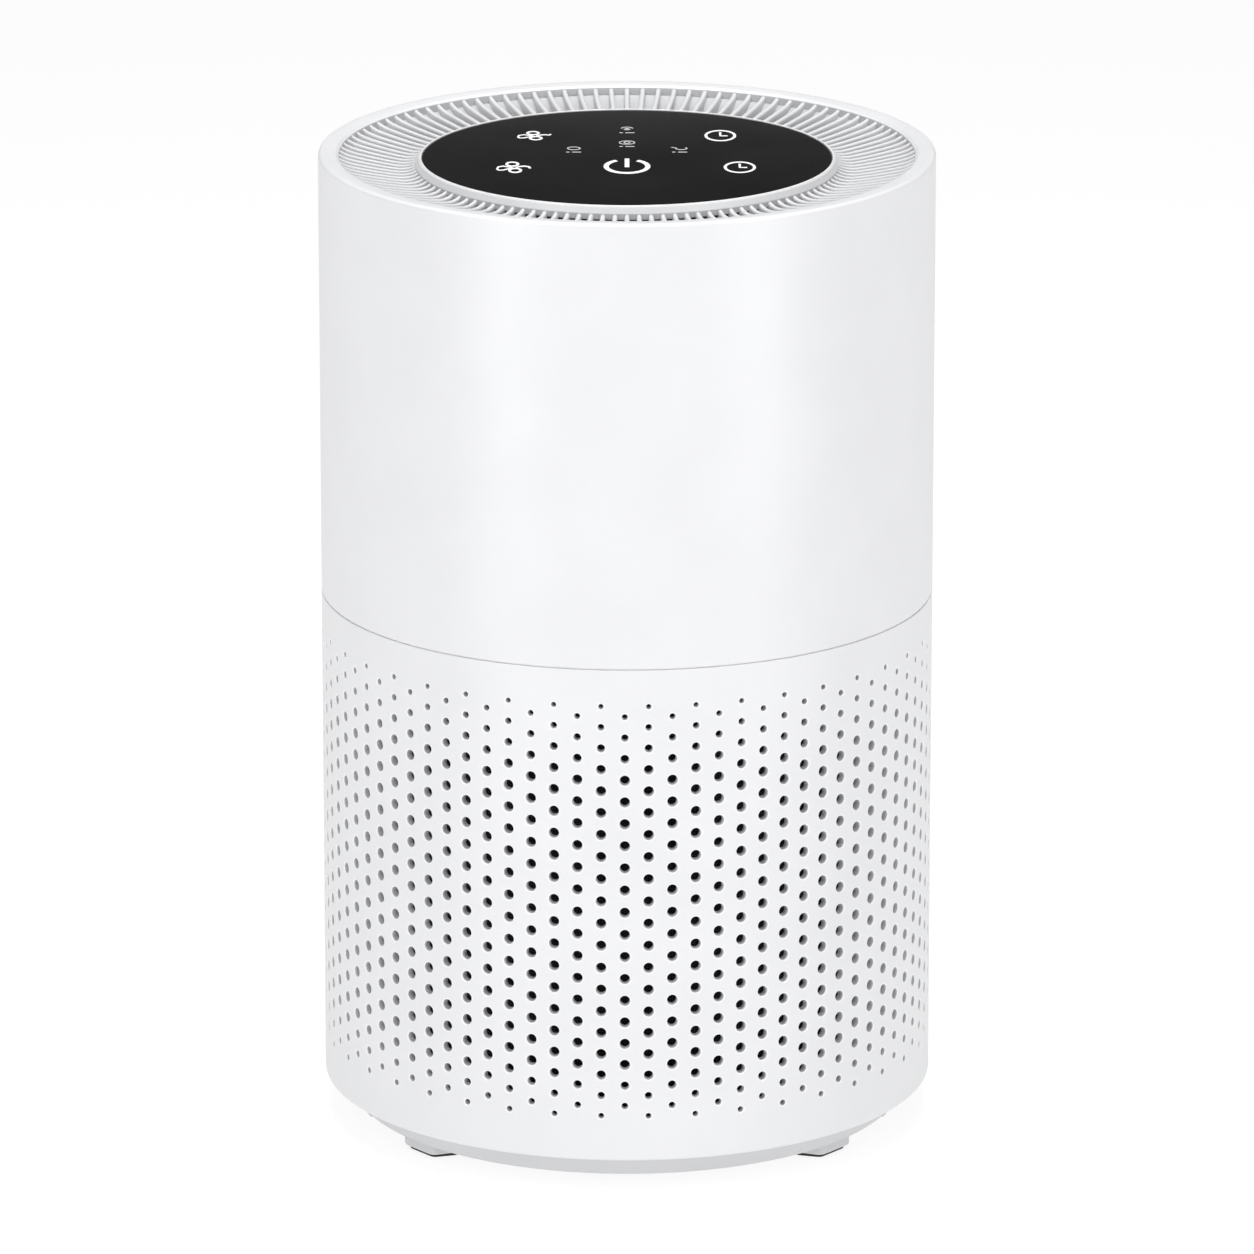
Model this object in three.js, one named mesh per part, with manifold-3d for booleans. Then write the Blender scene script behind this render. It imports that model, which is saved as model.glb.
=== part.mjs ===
// A cylindrical tabletop air purifier. Room air enters through the perforated cover around the lower half,
// passes inward through a cartridge filter, is drawn up by a centrifugal fan and leaves through the ring of
// radial vanes around the touch panel on top.
//
// Millimetres, +Z up, the floor at z = 0, the cylinder's axis on the Z axis, the front towards -Y.

import * as THREE from 'three';
import { mergeVertices } from 'three/addons/utils/BufferGeometryUtils.js';
import Module from 'manifold-3d';

const wasm = await Module();
wasm.setup();

// ---------------------------------------------------------------- driving dimensions

const GAP = 0.3;                  // clearance between neighbouring pieces
const BODY_RADIUS = 110;
const WALL = 2.6;
const RIM_TOP = 356;
const PANEL_TOP = 353.6;
const SEAM = 195.6;               // where the upper housing meets the intake cover
const COVER_BOTTOM = 14.2;
const BASE_BOTTOM = 4.6;
const BASE_RADIUS = 98.7;
const PANEL_RADIUS = 73;
const RIM_INNER_RADIUS = 102.6;   // the round hole in the top that holds the grille
const VANE_COUNT = 112;
const VANE_THICKNESS = 1.8;
const PLEAT_COUNT = 48;
const BLADE_COUNT = 9;
const GUIDE_VANE_COUNT = 11;
const FILTER_RADIUS = 91.5;
const FILTER_BOTTOM = 10;
const FILTER_TOP = 186;
const CORE_RADIUS = 44;           // the filter's open bore
const DECK_BOTTOM = 192.2;        // underside of the plate between filter and fan
const INLET_RADIUS = 50;          // the fan's inlet through that plate
const SHAFT_RADIUS = 3;

const SHELL_SEGMENTS = 40;
const RING_SEGMENTS = 24;
const SMALL_SEGMENTS = 12;
const SCREW_SEGMENTS = 6;

const innerRadius = BODY_RADIUS - WALL;
const deckTop = DECK_BOTTOM + 2.8;

// ---------------------------------------------------------------- geometry helpers

const radians = THREE.MathUtils.degToRad;

// Turns an outline of [radius, z] points, given anticlockwise, round the Z axis. An outline that starts and
// ends on the axis makes a solid disc shape; any other outline is closed into a ring.
function revolve(outline, segments = RING_SEGMENTS) {
  const points = outline.map(([radius, z]) => new THREE.Vector2(radius, z));
  const onAxis = outline[0][0] === 0 && outline[outline.length - 1][0] === 0;
  if (!onAxis) points.push(points[0].clone());
  return new THREE.LatheGeometry(points, segments).rotateX(Math.PI / 2);
}

function disc(radius, bottom, top, segments = RING_SEGMENTS) {
  return revolve([[0, bottom], [radius, bottom], [radius, top], [0, top]], segments);
}

function ring(inner, outer, bottom, top, segments = RING_SEGMENTS) {
  return revolve([[inner, bottom], [outer, bottom], [outer, top], [inner, top]], segments);
}

function box(width, depth, height, x, y, bottom) {
  return new THREE.BoxGeometry(width, depth, height).translate(x, y, bottom + height / 2);
}

// Extrudes a flat outline in the XY plane from one height to another.
function prism(shape, bottom, top, curveSegments = 6) {
  const options = { depth: top - bottom, bevelEnabled: false, curveSegments };
  return new THREE.ExtrudeGeometry(shape, options).translate(0, 0, bottom);
}

// A length of ring between two directions, in degrees anticlockwise from +X.
function arcBand(inner, outer, from, to, bottom, top, curveSegments = 5) {
  const shape = new THREE.Shape();
  shape.absarc(0, 0, outer, radians(from), radians(to), false);
  shape.absarc(0, 0, inner, radians(to), radians(from), true);
  return prism(shape, bottom, top, curveSegments);
}

// A thin upright plate that stands on a radius: its outline is given as [radius, z] points.
function radialPlate(outline, thickness, angle) {
  const shape = new THREE.Shape(outline.map(([radius, z]) => new THREE.Vector2(radius, z)));
  return new THREE.ExtrudeGeometry(shape, { depth: thickness, bevelEnabled: false })
    .translate(0, 0, -thickness / 2)
    .rotateX(Math.PI / 2)
    .rotateZ(radians(angle));
}

function roundedRectangle(width, height, corner) {
  const [x, y] = [width / 2, height / 2];
  const shape = new THREE.Shape();
  shape.absarc(x - corner, y - corner, corner, 0, radians(90), false);
  shape.absarc(corner - x, y - corner, corner, radians(90), radians(180), false);
  shape.absarc(corner - x, corner - y, corner, radians(180), radians(270), false);
  shape.absarc(x - corner, corner - y, corner, radians(270), radians(360), false);
  return shape;
}

// Directions of equally spaced copies, in degrees.
function directions(count, first = 0) {
  return Array.from({ length: count }, (_, index) => first + (360 / count) * index);
}

function at(geometry, radius, angle) {
  return geometry.translate(radius * Math.cos(radians(angle)), radius * Math.sin(radians(angle)), 0);
}

// ---------------------------------------------------------------- joining and cutting

function solidOf(geometry) {
  const bare = geometry.clone();
  bare.deleteAttribute('normal');
  bare.deleteAttribute('uv');
  const merged = mergeVertices(bare);
  const corners = merged.index.array;
  const triangles = [];
  for (let i = 0; i < corners.length; i += 3) {
    const [a, b, c] = [corners[i], corners[i + 1], corners[i + 2]];
    if (a !== b && b !== c && c !== a) triangles.push(a, b, c);
  }
  const mesh = new wasm.Mesh({
    numProp: 3,
    vertProperties: new Float32Array(merged.attributes.position.array),
    triVerts: new Uint32Array(triangles),
  });
  return new wasm.Manifold(mesh);
}

function geometryOf(solid) {
  const { vertProperties, triVerts } = solid.getMesh();
  const geometry = new THREE.BufferGeometry();
  geometry.setAttribute('position', new THREE.BufferAttribute(vertProperties, 3));
  geometry.setIndex(new THREE.BufferAttribute(triVerts, 1));
  geometry.computeVertexNormals();
  return geometry;
}

function join(...geometries) {
  return geometryOf(geometries.map(solidOf).reduce((whole, piece) => whole.add(piece)));
}

function cut(geometry, ...tools) {
  return geometryOf(tools.map(solidOf).reduce((rest, tool) => rest.subtract(tool), solidOf(geometry)));
}

// ---------------------------------------------------------------- materials and the assembly

const group = new THREE.Group();

function finish(color, roughness, metalness = 0) {
  return () => new THREE.MeshStandardMaterial({ color, roughness, metalness });
}

const whitePlastic = finish(0xeeeef0, 0.45);
const greyPlastic = finish(0xb9bbbf, 0.5);
const darkPlastic = finish(0x2a2b2e, 0.5);
const blackGlass = finish(0x0c0c0e, 0.08);
const rubber = finish(0x161616, 0.85);
const filterMesh = finish(0x33353a, 0.9);
const filterPaper = finish(0xf2f1ec, 0.95);
const carbon = finish(0x1b1b1d, 0.95);
const foam = finish(0x55585c, 1.0);
const steel = finish(0xb8bcc2, 0.3, 1);
const copper = finish(0xb4693a, 0.4, 1);
const circuitBoard = finish(0x1f5a3a, 0.5);

function addPart(name, geometry, material) {
  const mesh = new THREE.Mesh(geometry, material());
  mesh.name = name;
  group.add(mesh);
}

// ---------------------------------------------------------------- fasteners

// A pan-head screw that points along +Z from its head: the head's underside is at z = 0.
function screw(headRadius, headHeight, shankRadius, length) {
  return revolve([
    [0, -headHeight],
    [headRadius * 0.75, -headHeight],
    [headRadius, -headHeight * 0.4],
    [headRadius, 0],
    [shankRadius, 0],
    [shankRadius, length],
    [0, length + shankRadius],
  ], SCREW_SEGMENTS);
}

const SCREW_HEAD = 3.2;
const SCREW_SHANK = 1.25;
const SCREW_LENGTH = 10;
const SCREW_HOLE = SCREW_SHANK + GAP;
const CLEARANCE_HOLE = 1.9;

function pilotHole(bottom, top) {
  return disc(SCREW_HOLE, bottom, top, SCREW_SEGMENTS);
}

// ---------------------------------------------------------------- base cover, feet and bayonet

const LUG_COUNT = 4;
const LUG_SPAN = 26;              // degrees
const LEDGE_SPAN = 30;
const COLLAR_RADIUS = 98;
const LEDGE_BOTTOM = 17;
const LEDGE_TOP = 20;
const FOOT_HEIGHT = 1.6;          // underside of the moulded foot; the rubber pad fills the rest
const FOOT_DIRECTIONS = {
  front_left: -140.5,
  front_right: -39.5,
  rear_left: 140.5,
  rear_right: 39.5,
};

// The plan of a foot: a rounded trapezoid whose narrow side faces outward, made smaller by inset.
function footShape(inset) {
  const corner = 3 - inset * 0.5;
  const outer = 97.6 - inset;
  const inner = 84 + inset;
  const halfOuter = 8.5 - inset;
  const halfInner = 13 - inset;
  const shape = new THREE.Shape();
  shape.moveTo(inner, -halfInner + corner);
  shape.quadraticCurveTo(inner, -halfInner, inner + corner, -halfInner + corner * 0.3);
  shape.lineTo(outer - corner, -halfOuter - corner * 0.2);
  shape.quadraticCurveTo(outer, -halfOuter, outer, -halfOuter + corner);
  shape.lineTo(outer, halfOuter - corner);
  shape.quadraticCurveTo(outer, halfOuter, outer - corner, halfOuter + corner * 0.2);
  shape.lineTo(inner + corner, halfInner - corner * 0.3);
  shape.quadraticCurveTo(inner, halfInner, inner, halfInner - corner);
  shape.closePath();
  return shape;
}

function footPrism(inset, direction, bottom, top) {
  return prism(footShape(inset), bottom, top, 3).rotateZ(radians(direction));
}

function baseCover() {
  const dish = revolve([
    [0, BASE_BOTTOM],
    [BASE_RADIUS - 1.5, BASE_BOTTOM],
    [BASE_RADIUS, BASE_BOTTOM + 1],
    [innerRadius - 0.7, COVER_BOTTOM - 0.3],
    [innerRadius - 0.5, COVER_BOTTOM + 1],
    [innerRadius - 3, COVER_BOTTOM + 1],
    [COLLAR_RADIUS, BASE_BOTTOM + 4.2],
    [COLLAR_RADIUS, LEDGE_TOP + 3.2],
    [COLLAR_RADIUS - 2.6, LEDGE_TOP + 3.2],
    [COLLAR_RADIUS - 2.6, BASE_BOTTOM + 2.4],
    [85, BASE_BOTTOM + 2.4],
    [85, FILTER_BOTTOM - GAP],
    [82, FILTER_BOTTOM - GAP],
    [82, BASE_BOTTOM + 2.4],
    [0, BASE_BOTTOM + 2.4],
  ], SHELL_SEGMENTS);
  const lugs = directions(LUG_COUNT).map((angle) => arcBand(
    COLLAR_RADIUS - 0.5, COLLAR_RADIUS + 5.6, angle - LUG_SPAN / 2, angle + LUG_SPAN / 2,
    LEDGE_TOP + 0.5, LEDGE_TOP + 3.2,
  ));
  const feet = Object.values(FOOT_DIRECTIONS).map((angle) => (
    footPrism(0, angle, FOOT_HEIGHT, BASE_BOTTOM + 1.2)
  ));
  const grips = [0, 180].map((angle) => (
    arcBand(90, BASE_RADIUS - 1, angle - 18, angle + 18, 3, BASE_BOTTOM + 1)
  ));
  return join(dish, ...lugs, ...feet, ...grips);
}

addPart('base_cover', baseCover(), whitePlastic);
for (const [place, direction] of Object.entries(FOOT_DIRECTIONS)) {
  addPart(`foot_pad_${place}`, footPrism(2, direction, 0, FOOT_HEIGHT - GAP), rubber);
}

// ---------------------------------------------------------------- filter cartridge

const CAP_HEIGHT = 10;
const CAP_PLATE = 2.5;
const mediaBottom = FILTER_BOTTOM + CAP_PLATE + GAP;
const mediaTop = FILTER_TOP - CAP_PLATE - GAP;
const sleeveOuter = FILTER_RADIUS - 1.3;

function filterBottomCap() {
  return revolve([
    [0, FILTER_BOTTOM],
    [FILTER_RADIUS - 1, FILTER_BOTTOM],
    [FILTER_RADIUS, FILTER_BOTTOM + 1],
    [FILTER_RADIUS, FILTER_BOTTOM + CAP_HEIGHT],
    [FILTER_RADIUS - 2, FILTER_BOTTOM + CAP_HEIGHT],
    [FILTER_RADIUS - 2, FILTER_BOTTOM + CAP_PLATE],
    [0, FILTER_BOTTOM + CAP_PLATE],
  ]);
}

function filterTopCap() {
  return revolve([
    [CORE_RADIUS, FILTER_TOP - CAP_PLATE],
    [FILTER_RADIUS - 2, FILTER_TOP - CAP_PLATE],
    [FILTER_RADIUS - 2, FILTER_TOP - CAP_HEIGHT],
    [FILTER_RADIUS, FILTER_TOP - CAP_HEIGHT],
    [FILTER_RADIUS, FILTER_TOP - 1],
    [FILTER_RADIUS - 1, FILTER_TOP],
    [CORE_RADIUS, FILTER_TOP],
  ]);
}

// The folded paper: a zigzag wall between an outer and an inner fold line.
function filterPleats() {
  const foldLine = (outward, inward) => directions(PLEAT_COUNT * 2).map((angle, index) => {
    const radius = index % 2 === 0 ? outward : inward;
    return new THREE.Vector2(radius * Math.cos(radians(angle)), radius * Math.sin(radians(angle)));
  });
  const shape = new THREE.Shape(foldLine(sleeveOuter - 3.4, 59));
  shape.holes.push(new THREE.Path(foldLine(sleeveOuter - 7.6, 54)));
  return prism(shape, mediaBottom, mediaTop);
}

function pullTab() {
  return cut(
    prism(roundedRectangle(90, 22, 6), BASE_BOTTOM + 3, BASE_BOTTOM + 4.4, 3),
    prism(roundedRectangle(34, 10, 4), BASE_BOTTOM, BASE_BOTTOM + 6, 3),
  );
}

addPart('filter_bottom_cap', filterBottomCap(), whitePlastic);
addPart('filter_pull_tab', pullTab(), filterMesh);
addPart('filter_prefilter', ring(
  sleeveOuter - 2, sleeveOuter, FILTER_BOTTOM + CAP_HEIGHT + GAP, FILTER_TOP - CAP_HEIGHT - GAP,
), filterMesh);
addPart('filter_pleats', filterPleats(), filterPaper);
addPart('filter_carbon_core', ring(CORE_RADIUS, CORE_RADIUS + 7.5, mediaBottom, mediaTop), carbon);
addPart('filter_top_cap', filterTopCap(), whitePlastic);
addPart('filter_seal', ring(60, 72, FILTER_TOP + GAP, DECK_BOTTOM - GAP), foam);

// ---------------------------------------------------------------- outer shells

const INLET_Z = 215;              // centre of the power inlet on the rear
const INLET_WIDTH = 26;
const INLET_HEIGHT = 18;
const MODULE_BOSS_RADIUS = 100;   // where the screws of the fan module stand
const MODULE_BOSS_DIRECTIONS = directions(4, 67.5);
const RIM_LEDGE = 338.6;          // the step inside the rim that the grille stands on

// The lower shell. Its perforations are fine surface work and are left out of this solid.
function intakeCover() {
  const wall = revolve([
    [innerRadius, COVER_BOTTOM],
    [BODY_RADIUS - 0.9, COVER_BOTTOM],
    [BODY_RADIUS, COVER_BOTTOM + 1],
    [BODY_RADIUS, SEAM - 0.25],
    [innerRadius, SEAM - 0.25],
  ], SHELL_SEGMENTS);
  const ledges = directions(LUG_COUNT, 45).map((angle) => arcBand(
    COLLAR_RADIUS + 2.2, innerRadius + 0.5, angle - LEDGE_SPAN / 2, angle + LEDGE_SPAN / 2,
    LEDGE_BOTTOM, LEDGE_TOP,
  ));
  return join(wall, ...ledges);
}

function upperHousing() {
  const shell = revolve([
    [innerRadius - 2.6, SEAM - 6],
    [innerRadius - 0.4, SEAM - 6],
    [innerRadius - 0.4, SEAM + 0.25],
    [BODY_RADIUS, SEAM + 0.25],
    [BODY_RADIUS, RIM_TOP - 1],
    [BODY_RADIUS - 1, RIM_TOP],
    [RIM_INNER_RADIUS, RIM_TOP - 1],
    [RIM_INNER_RADIUS, RIM_LEDGE],
    [RIM_INNER_RADIUS - 4, RIM_LEDGE],
    [RIM_INNER_RADIUS - 4, RIM_LEDGE - 2.4],
    [RIM_INNER_RADIUS + 2, RIM_LEDGE - 2.4],
    [RIM_INNER_RADIUS + 2, RIM_TOP - 3.4],
    [innerRadius, RIM_TOP - 3.4],
    [innerRadius, SEAM + 6],
  ], SHELL_SEGMENTS);
  const bosses = MODULE_BOSS_DIRECTIONS.map((angle) => at(disc(3.6, deckTop + GAP, deckTop + 16, 8),
    MODULE_BOSS_RADIUS, angle));
  const webs = MODULE_BOSS_DIRECTIONS.map((angle) => radialPlate([
    [MODULE_BOSS_RADIUS + 2, deckTop + 4],
    [innerRadius + 0.5, deckTop + 4],
    [innerRadius + 0.5, deckTop + 16],
    [MODULE_BOSS_RADIUS + 2, deckTop + 16],
  ], 2, angle));
  const pilots = MODULE_BOSS_DIRECTIONS.map((angle) => (
    at(pilotHole(deckTop, deckTop + 12), MODULE_BOSS_RADIUS, angle)
  ));
  const inletWindow = box(INLET_WIDTH, 20, INLET_HEIGHT, 0, BODY_RADIUS, INLET_Z - INLET_HEIGHT / 2);
  return cut(join(shell, ...bosses, ...webs), ...pilots, inletWindow);
}

addPart('intake_cover', intakeCover(), whitePlastic);
addPart('upper_housing', upperHousing(), whitePlastic);

// ---------------------------------------------------------------- outlet grille and panel

const GRILLE_BOTTOM = RIM_LEDGE + GAP;
const GRILLE_INNER = 74.5;
const GRILLE_OUTER = RIM_INNER_RADIUS - 0.7;
const VANE_INNER = 77.5;
const VANE_OUTER = GRILLE_OUTER - 0.8;
const VANE_INNER_TOP = 350.9;
const VANE_OUTER_TOP = 354.2;
const FLANGE_TOP = GRILLE_BOTTOM - GAP;   // the tray hangs under the grille's inner ring
const TRAY_SCREW_RADIUS = 76;
const TRAY_SCREW_DIRECTIONS = directions(3, 30);

function circlePath(radius, segments) {
  return new THREE.Path(directions(segments).map((angle) => (
    new THREE.Vector2(radius * Math.cos(radians(angle)), radius * Math.sin(radians(angle)))
  )));
}

// One air slot of the grille: what is left open between two vanes.
function slotPath(angle) {
  const corner = (radius, side) => {
    const halfVane = THREE.MathUtils.radToDeg(VANE_THICKNESS / 2 / radius);
    const turn = radians(angle + side * (180 / VANE_COUNT - halfVane));
    return new THREE.Vector2(radius * Math.cos(turn), radius * Math.sin(turn));
  };
  return new THREE.Path([
    corner(VANE_INNER, 1),
    corner(VANE_INNER, -1),
    corner(VANE_OUTER, -1),
    corner(VANE_OUTER, 1),
  ]);
}

// A ring of radial vanes between an inner and an outer hoop, cut as slots in one plate. Its top slopes up
// from the inner hoop to the rim of the housing.
function outletGrille() {
  const plate = new THREE.Shape(circlePath(GRILLE_OUTER, SHELL_SEGMENTS).getPoints());
  plate.holes.push(circlePath(GRILLE_INNER, SHELL_SEGMENTS));
  plate.holes.push(...directions(VANE_COUNT, 180 / VANE_COUNT).map(slotPath));
  const geometry = prism(plate, GRILLE_BOTTOM, VANE_INNER_TOP);
  const corners = geometry.attributes.position;
  for (let i = 0; i < corners.count; i += 1) {
    const radius = Math.hypot(corners.getX(i), corners.getY(i));
    const onTop = corners.getZ(i) > GRILLE_BOTTOM + 1;
    if (onTop && radius > (VANE_INNER + VANE_OUTER) / 2) corners.setZ(i, VANE_OUTER_TOP);
  }
  const pilots = TRAY_SCREW_DIRECTIONS.map((angle) => (
    at(pilotHole(GRILLE_BOTTOM - 1, GRILLE_BOTTOM + 7), TRAY_SCREW_RADIUS, angle)
  ));
  return cut(geometry, ...pilots);
}

const LIGHT_GUIDE_BOTTOM = 346.4;

function panelTrimRing() {
  return revolve([
    [PANEL_RADIUS + GAP, LIGHT_GUIDE_BOTTOM],
    [GRILLE_INNER - 0.4, LIGHT_GUIDE_BOTTOM],
    [GRILLE_INNER - 0.4, VANE_INNER_TOP + 2 * GAP],
    [VANE_INNER - GAP, VANE_INNER_TOP + 2 * GAP],
    [VANE_INNER - GAP, VANE_INNER_TOP + 3 * GAP],
    [PANEL_RADIUS + 1.1, PANEL_TOP + 0.3],
    [PANEL_RADIUS + GAP, PANEL_TOP + 0.3],
  ], SHELL_SEGMENTS);
}

addPart('outlet_grille', outletGrille(), whitePlastic);
addPart('panel_trim_ring', panelTrimRing(), greyPlastic);
addPart('display_panel', disc(PANEL_RADIUS, PANEL_TOP - 2.2, PANEL_TOP, SHELL_SEGMENTS), blackGlass);

// ---------------------------------------------------------------- electronics under the panel

const TRAY_BOTTOM = 302;
const TRAY_RADIUS = 65;
const TOUCH_BOARD = 338;
const TRAY_TOP = 346;
const PANEL_BACK = PANEL_TOP - 2.2;
// Touch keys, seen from above: [x, y] from the middle of the panel.
const TOUCH_KEYS = {
  power: [0, -14.4],
  fan_low: [-40.2, -15.8],
  timer_short: [40, -15.8],
  fan_high: [-33.3, 32.5],
  timer_long: [33.5, 32.5],
};

function electronicsTray() {
  const cup = revolve([
    [0, TRAY_BOTTOM],
    [TRAY_RADIUS, TRAY_BOTTOM],
    [TRAY_RADIUS, FLANGE_TOP - 2.4],
    [TRAY_SCREW_RADIUS + 2, FLANGE_TOP - 2.4],
    [TRAY_SCREW_RADIUS + 2, FLANGE_TOP],
    [GRILLE_INNER - 0.6, FLANGE_TOP],
    [GRILLE_INNER - 0.6, TRAY_TOP],
    [TRAY_RADIUS - 2, TRAY_TOP],
    [TRAY_RADIUS - 2, TRAY_BOTTOM + 2],
    [0, TRAY_BOTTOM + 2],
  ]);
  const post = disc(3, TRAY_BOTTOM + 1, TRAY_BOTTOM + 6, 8);
  const posts = directions(4, 45).map((angle) => at(post.clone(), 42, angle));
  const screwHoles = TRAY_SCREW_DIRECTIONS.map((angle) => (
    at(disc(CLEARANCE_HOLE, 0, 345, 6), TRAY_SCREW_RADIUS, angle)
  ));
  const motorLeadHole = disc(4, TRAY_BOTTOM - 2, TRAY_BOTTOM + 4, SMALL_SEGMENTS).translate(30, 0, 0);
  const powerLeadHole = box(9, 12, 7, 0, TRAY_RADIUS, 329);
  return cut(join(cup, ...posts), ...screwHoles, motorLeadHole, powerLeadHole);
}

function controlBoard() {
  const bottom = TRAY_BOTTOM + 6.3;
  const top = bottom + 1.6;
  const board = prism(roundedRectangle(74, 70, 3), bottom, top);
  const capacitors = [20, 4].map((y) => disc(5, top - 0.5, top + 13, 12).translate(-24, y, 0));
  const chips = [
    box(12, 12, 2, -2, -12, top - 0.5),
    box(8, 16, 6, 12, 18, top - 0.5),
    box(16, 9, 8, 16, -22, top - 0.5),
  ];
  return join(board, ...capacitors, ...chips);
}

function lightGuide() {
  const keyHoles = Object.values(TOUCH_KEYS).map(([x, y]) => (
    disc(6, 340, PANEL_TOP, SMALL_SEGMENTS).translate(x, y, 0)
  ));
  return cut(disc(PANEL_RADIUS - 0.6, LIGHT_GUIDE_BOTTOM, PANEL_BACK - GAP), ...keyHoles);
}

addPart('electronics_tray', electronicsTray(), darkPlastic);
addPart('control_board', controlBoard(), circuitBoard);
const buzzer = disc(6, TRAY_BOTTOM + 8.2, TRAY_BOTTOM + 14, SMALL_SEGMENTS).translate(-11, 26, 0);
addPart('buzzer', buzzer, darkPlastic);
addPart('touch_board', disc(61, TOUCH_BOARD, TOUCH_BOARD + 1.6), circuitBoard);
addPart('light_guide', lightGuide(), darkPlastic);
for (const [key, [x, y]] of Object.entries(TOUCH_KEYS)) {
  const spring = ring(2.6, 4.2, TOUCH_BOARD + 1.6 + GAP, PANEL_BACK - GAP, 12).translate(x, y, 0);
  addPart(`touch_spring_${key}`, spring, steel);
}
TRAY_SCREW_DIRECTIONS.forEach((angle, index) => {
  const fastener = screw(SCREW_HEAD * 0.8, 1.6, SCREW_SHANK, 7).translate(0, 0, FLANGE_TOP - 2.4 - 0.1);
  addPart(`tray_screw_${index + 1}`, at(fastener, TRAY_SCREW_RADIUS, angle), steel);
});

// ---------------------------------------------------------------- fan deck and air guide

const GUIDE_POST_DIRECTIONS = directions(4, 22.5);
const DOME_BOTTOM = 260;
const GUIDE_TOP = 330;
const MOTOR_POST_RADIUS = 50;
const BRACKET_BOTTOM = 292;

function fanDeck() {
  const plate = revolve([
    [INLET_RADIUS + 5, DECK_BOTTOM],
    [innerRadius - 3.1, DECK_BOTTOM],
    [innerRadius - 3.1, deckTop],
    [INLET_RADIUS + 5, deckTop],
    [INLET_RADIUS + 2.4, deckTop + 6],
    [INLET_RADIUS, deckTop + 6],
    [INLET_RADIUS + 1.6, DECK_BOTTOM + 1.5],
  ], SHELL_SEGMENTS);
  const holes = directions(8, 22.5).map((angle) => (
    at(disc(CLEARANCE_HOLE, 0, SEAM + 20, 6), MODULE_BOSS_RADIUS, angle)
  ));
  return cut(plate, ...holes);
}

// The dome that carries the motor, the vanes that straighten the air and the outer ring they end in.
function airGuide() {
  const dome = revolve([
    [33, DOME_BOTTOM],
    [46, DOME_BOTTOM + 0.5],
    [60, DOME_BOTTOM + 15],
    [68.5, DOME_BOTTOM + 40],
    [72.5, GUIDE_TOP],
    [70.3, GUIDE_TOP],
    [66.3, DOME_BOTTOM + 40],
    [58.2, DOME_BOTTOM + 16],
    [45, DOME_BOTTOM + 2.8],
    [33, DOME_BOTTOM + 2.3],
  ]);
  const outerRing = ring(innerRadius - 3, innerRadius - 0.6, 288, GUIDE_TOP, SHELL_SEGMENTS);
  const vanes = directions(GUIDE_VANE_COUNT, -90).map((angle) => radialPlate([
    [66.8, 292], [innerRadius - 2, 292], [innerRadius - 2, 326], [71, 326],
  ], 1.8, angle));
  const posts = GUIDE_POST_DIRECTIONS.map((angle) => at(disc(3.6, deckTop + GAP, 292, 8),
    MODULE_BOSS_RADIUS, angle));
  const motorPosts = directions(3, 30).map((angle) => at(disc(4, DOME_BOTTOM + 6, BRACKET_BOTTOM - GAP, 8),
    MOTOR_POST_RADIUS, angle));
  const links = GUIDE_POST_DIRECTIONS.map((angle) => radialPlate([
    [MODULE_BOSS_RADIUS + 2, 289],
    [innerRadius - 1.5, 289],
    [innerRadius - 1.5, 292],
    [MODULE_BOSS_RADIUS + 2, 292],
  ], 3, angle));
  const pilots = [
    ...GUIDE_POST_DIRECTIONS.map((angle) => (
      at(pilotHole(deckTop, deckTop + 12), MODULE_BOSS_RADIUS, angle)
    )),
    ...directions(3, 30).map((angle) => (
      at(pilotHole(BRACKET_BOTTOM - 10, BRACKET_BOTTOM), MOTOR_POST_RADIUS, angle)
    )),
  ];
  return cut(join(dome, outerRing, ...vanes, ...posts, ...motorPosts, ...links), ...pilots);
}

addPart('fan_deck', fanDeck(), darkPlastic);
addPart('air_guide', airGuide(), greyPlastic);
directions(8, 22.5).forEach((angle, index) => {
  const fastener = screw(SCREW_HEAD, 1.6, SCREW_SHANK, SCREW_LENGTH);
  fastener.translate(0, 0, DECK_BOTTOM - 0.1);
  addPart(`deck_screw_${index + 1}`, at(fastener, MODULE_BOSS_RADIUS, angle), steel);
});

// ---------------------------------------------------------------- motor

const BEARING_RADIUS = 7.7;
const BEARING_SEATS = [270, 284];

function motorBracket() {
  const plate = revolve([
    [8, 266],
    [10.5, 266],
    [10.5, BRACKET_BOTTOM],
    [56, BRACKET_BOTTOM],
    [56, BRACKET_BOTTOM + 3],
    [8, BRACKET_BOTTOM + 3],
  ]);
  const holes = directions(3, 30).map((angle) => (
    at(disc(CLEARANCE_HOLE, 280, 300, 6), MOTOR_POST_RADIUS, angle)
  ));
  const windows = directions(3, 90).map((angle) => arcBand(36, 50, angle - 30, angle + 30, 290, 297));
  return cut(plate, ...holes, ...windows);
}

// Nine iron teeth with wide shoes, in one stack of laminations round the bearing tube.
function motorStator() {
  const point = (radius, angle) => (
    new THREE.Vector2(radius * Math.cos(radians(angle)), radius * Math.sin(radians(angle)))
  );
  const outline = directions(9).flatMap((angle) => [
    point(15, angle - 12), point(22, angle - 7), point(22.5, angle - 16), point(25.5, angle - 16),
    point(25.5, angle + 16), point(22.5, angle + 16), point(22, angle + 7), point(15, angle + 12),
  ]);
  const laminations = new THREE.Shape(outline);
  laminations.holes.push(circlePath(10.9, 16));
  return prism(laminations, 271, 287);
}

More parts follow.
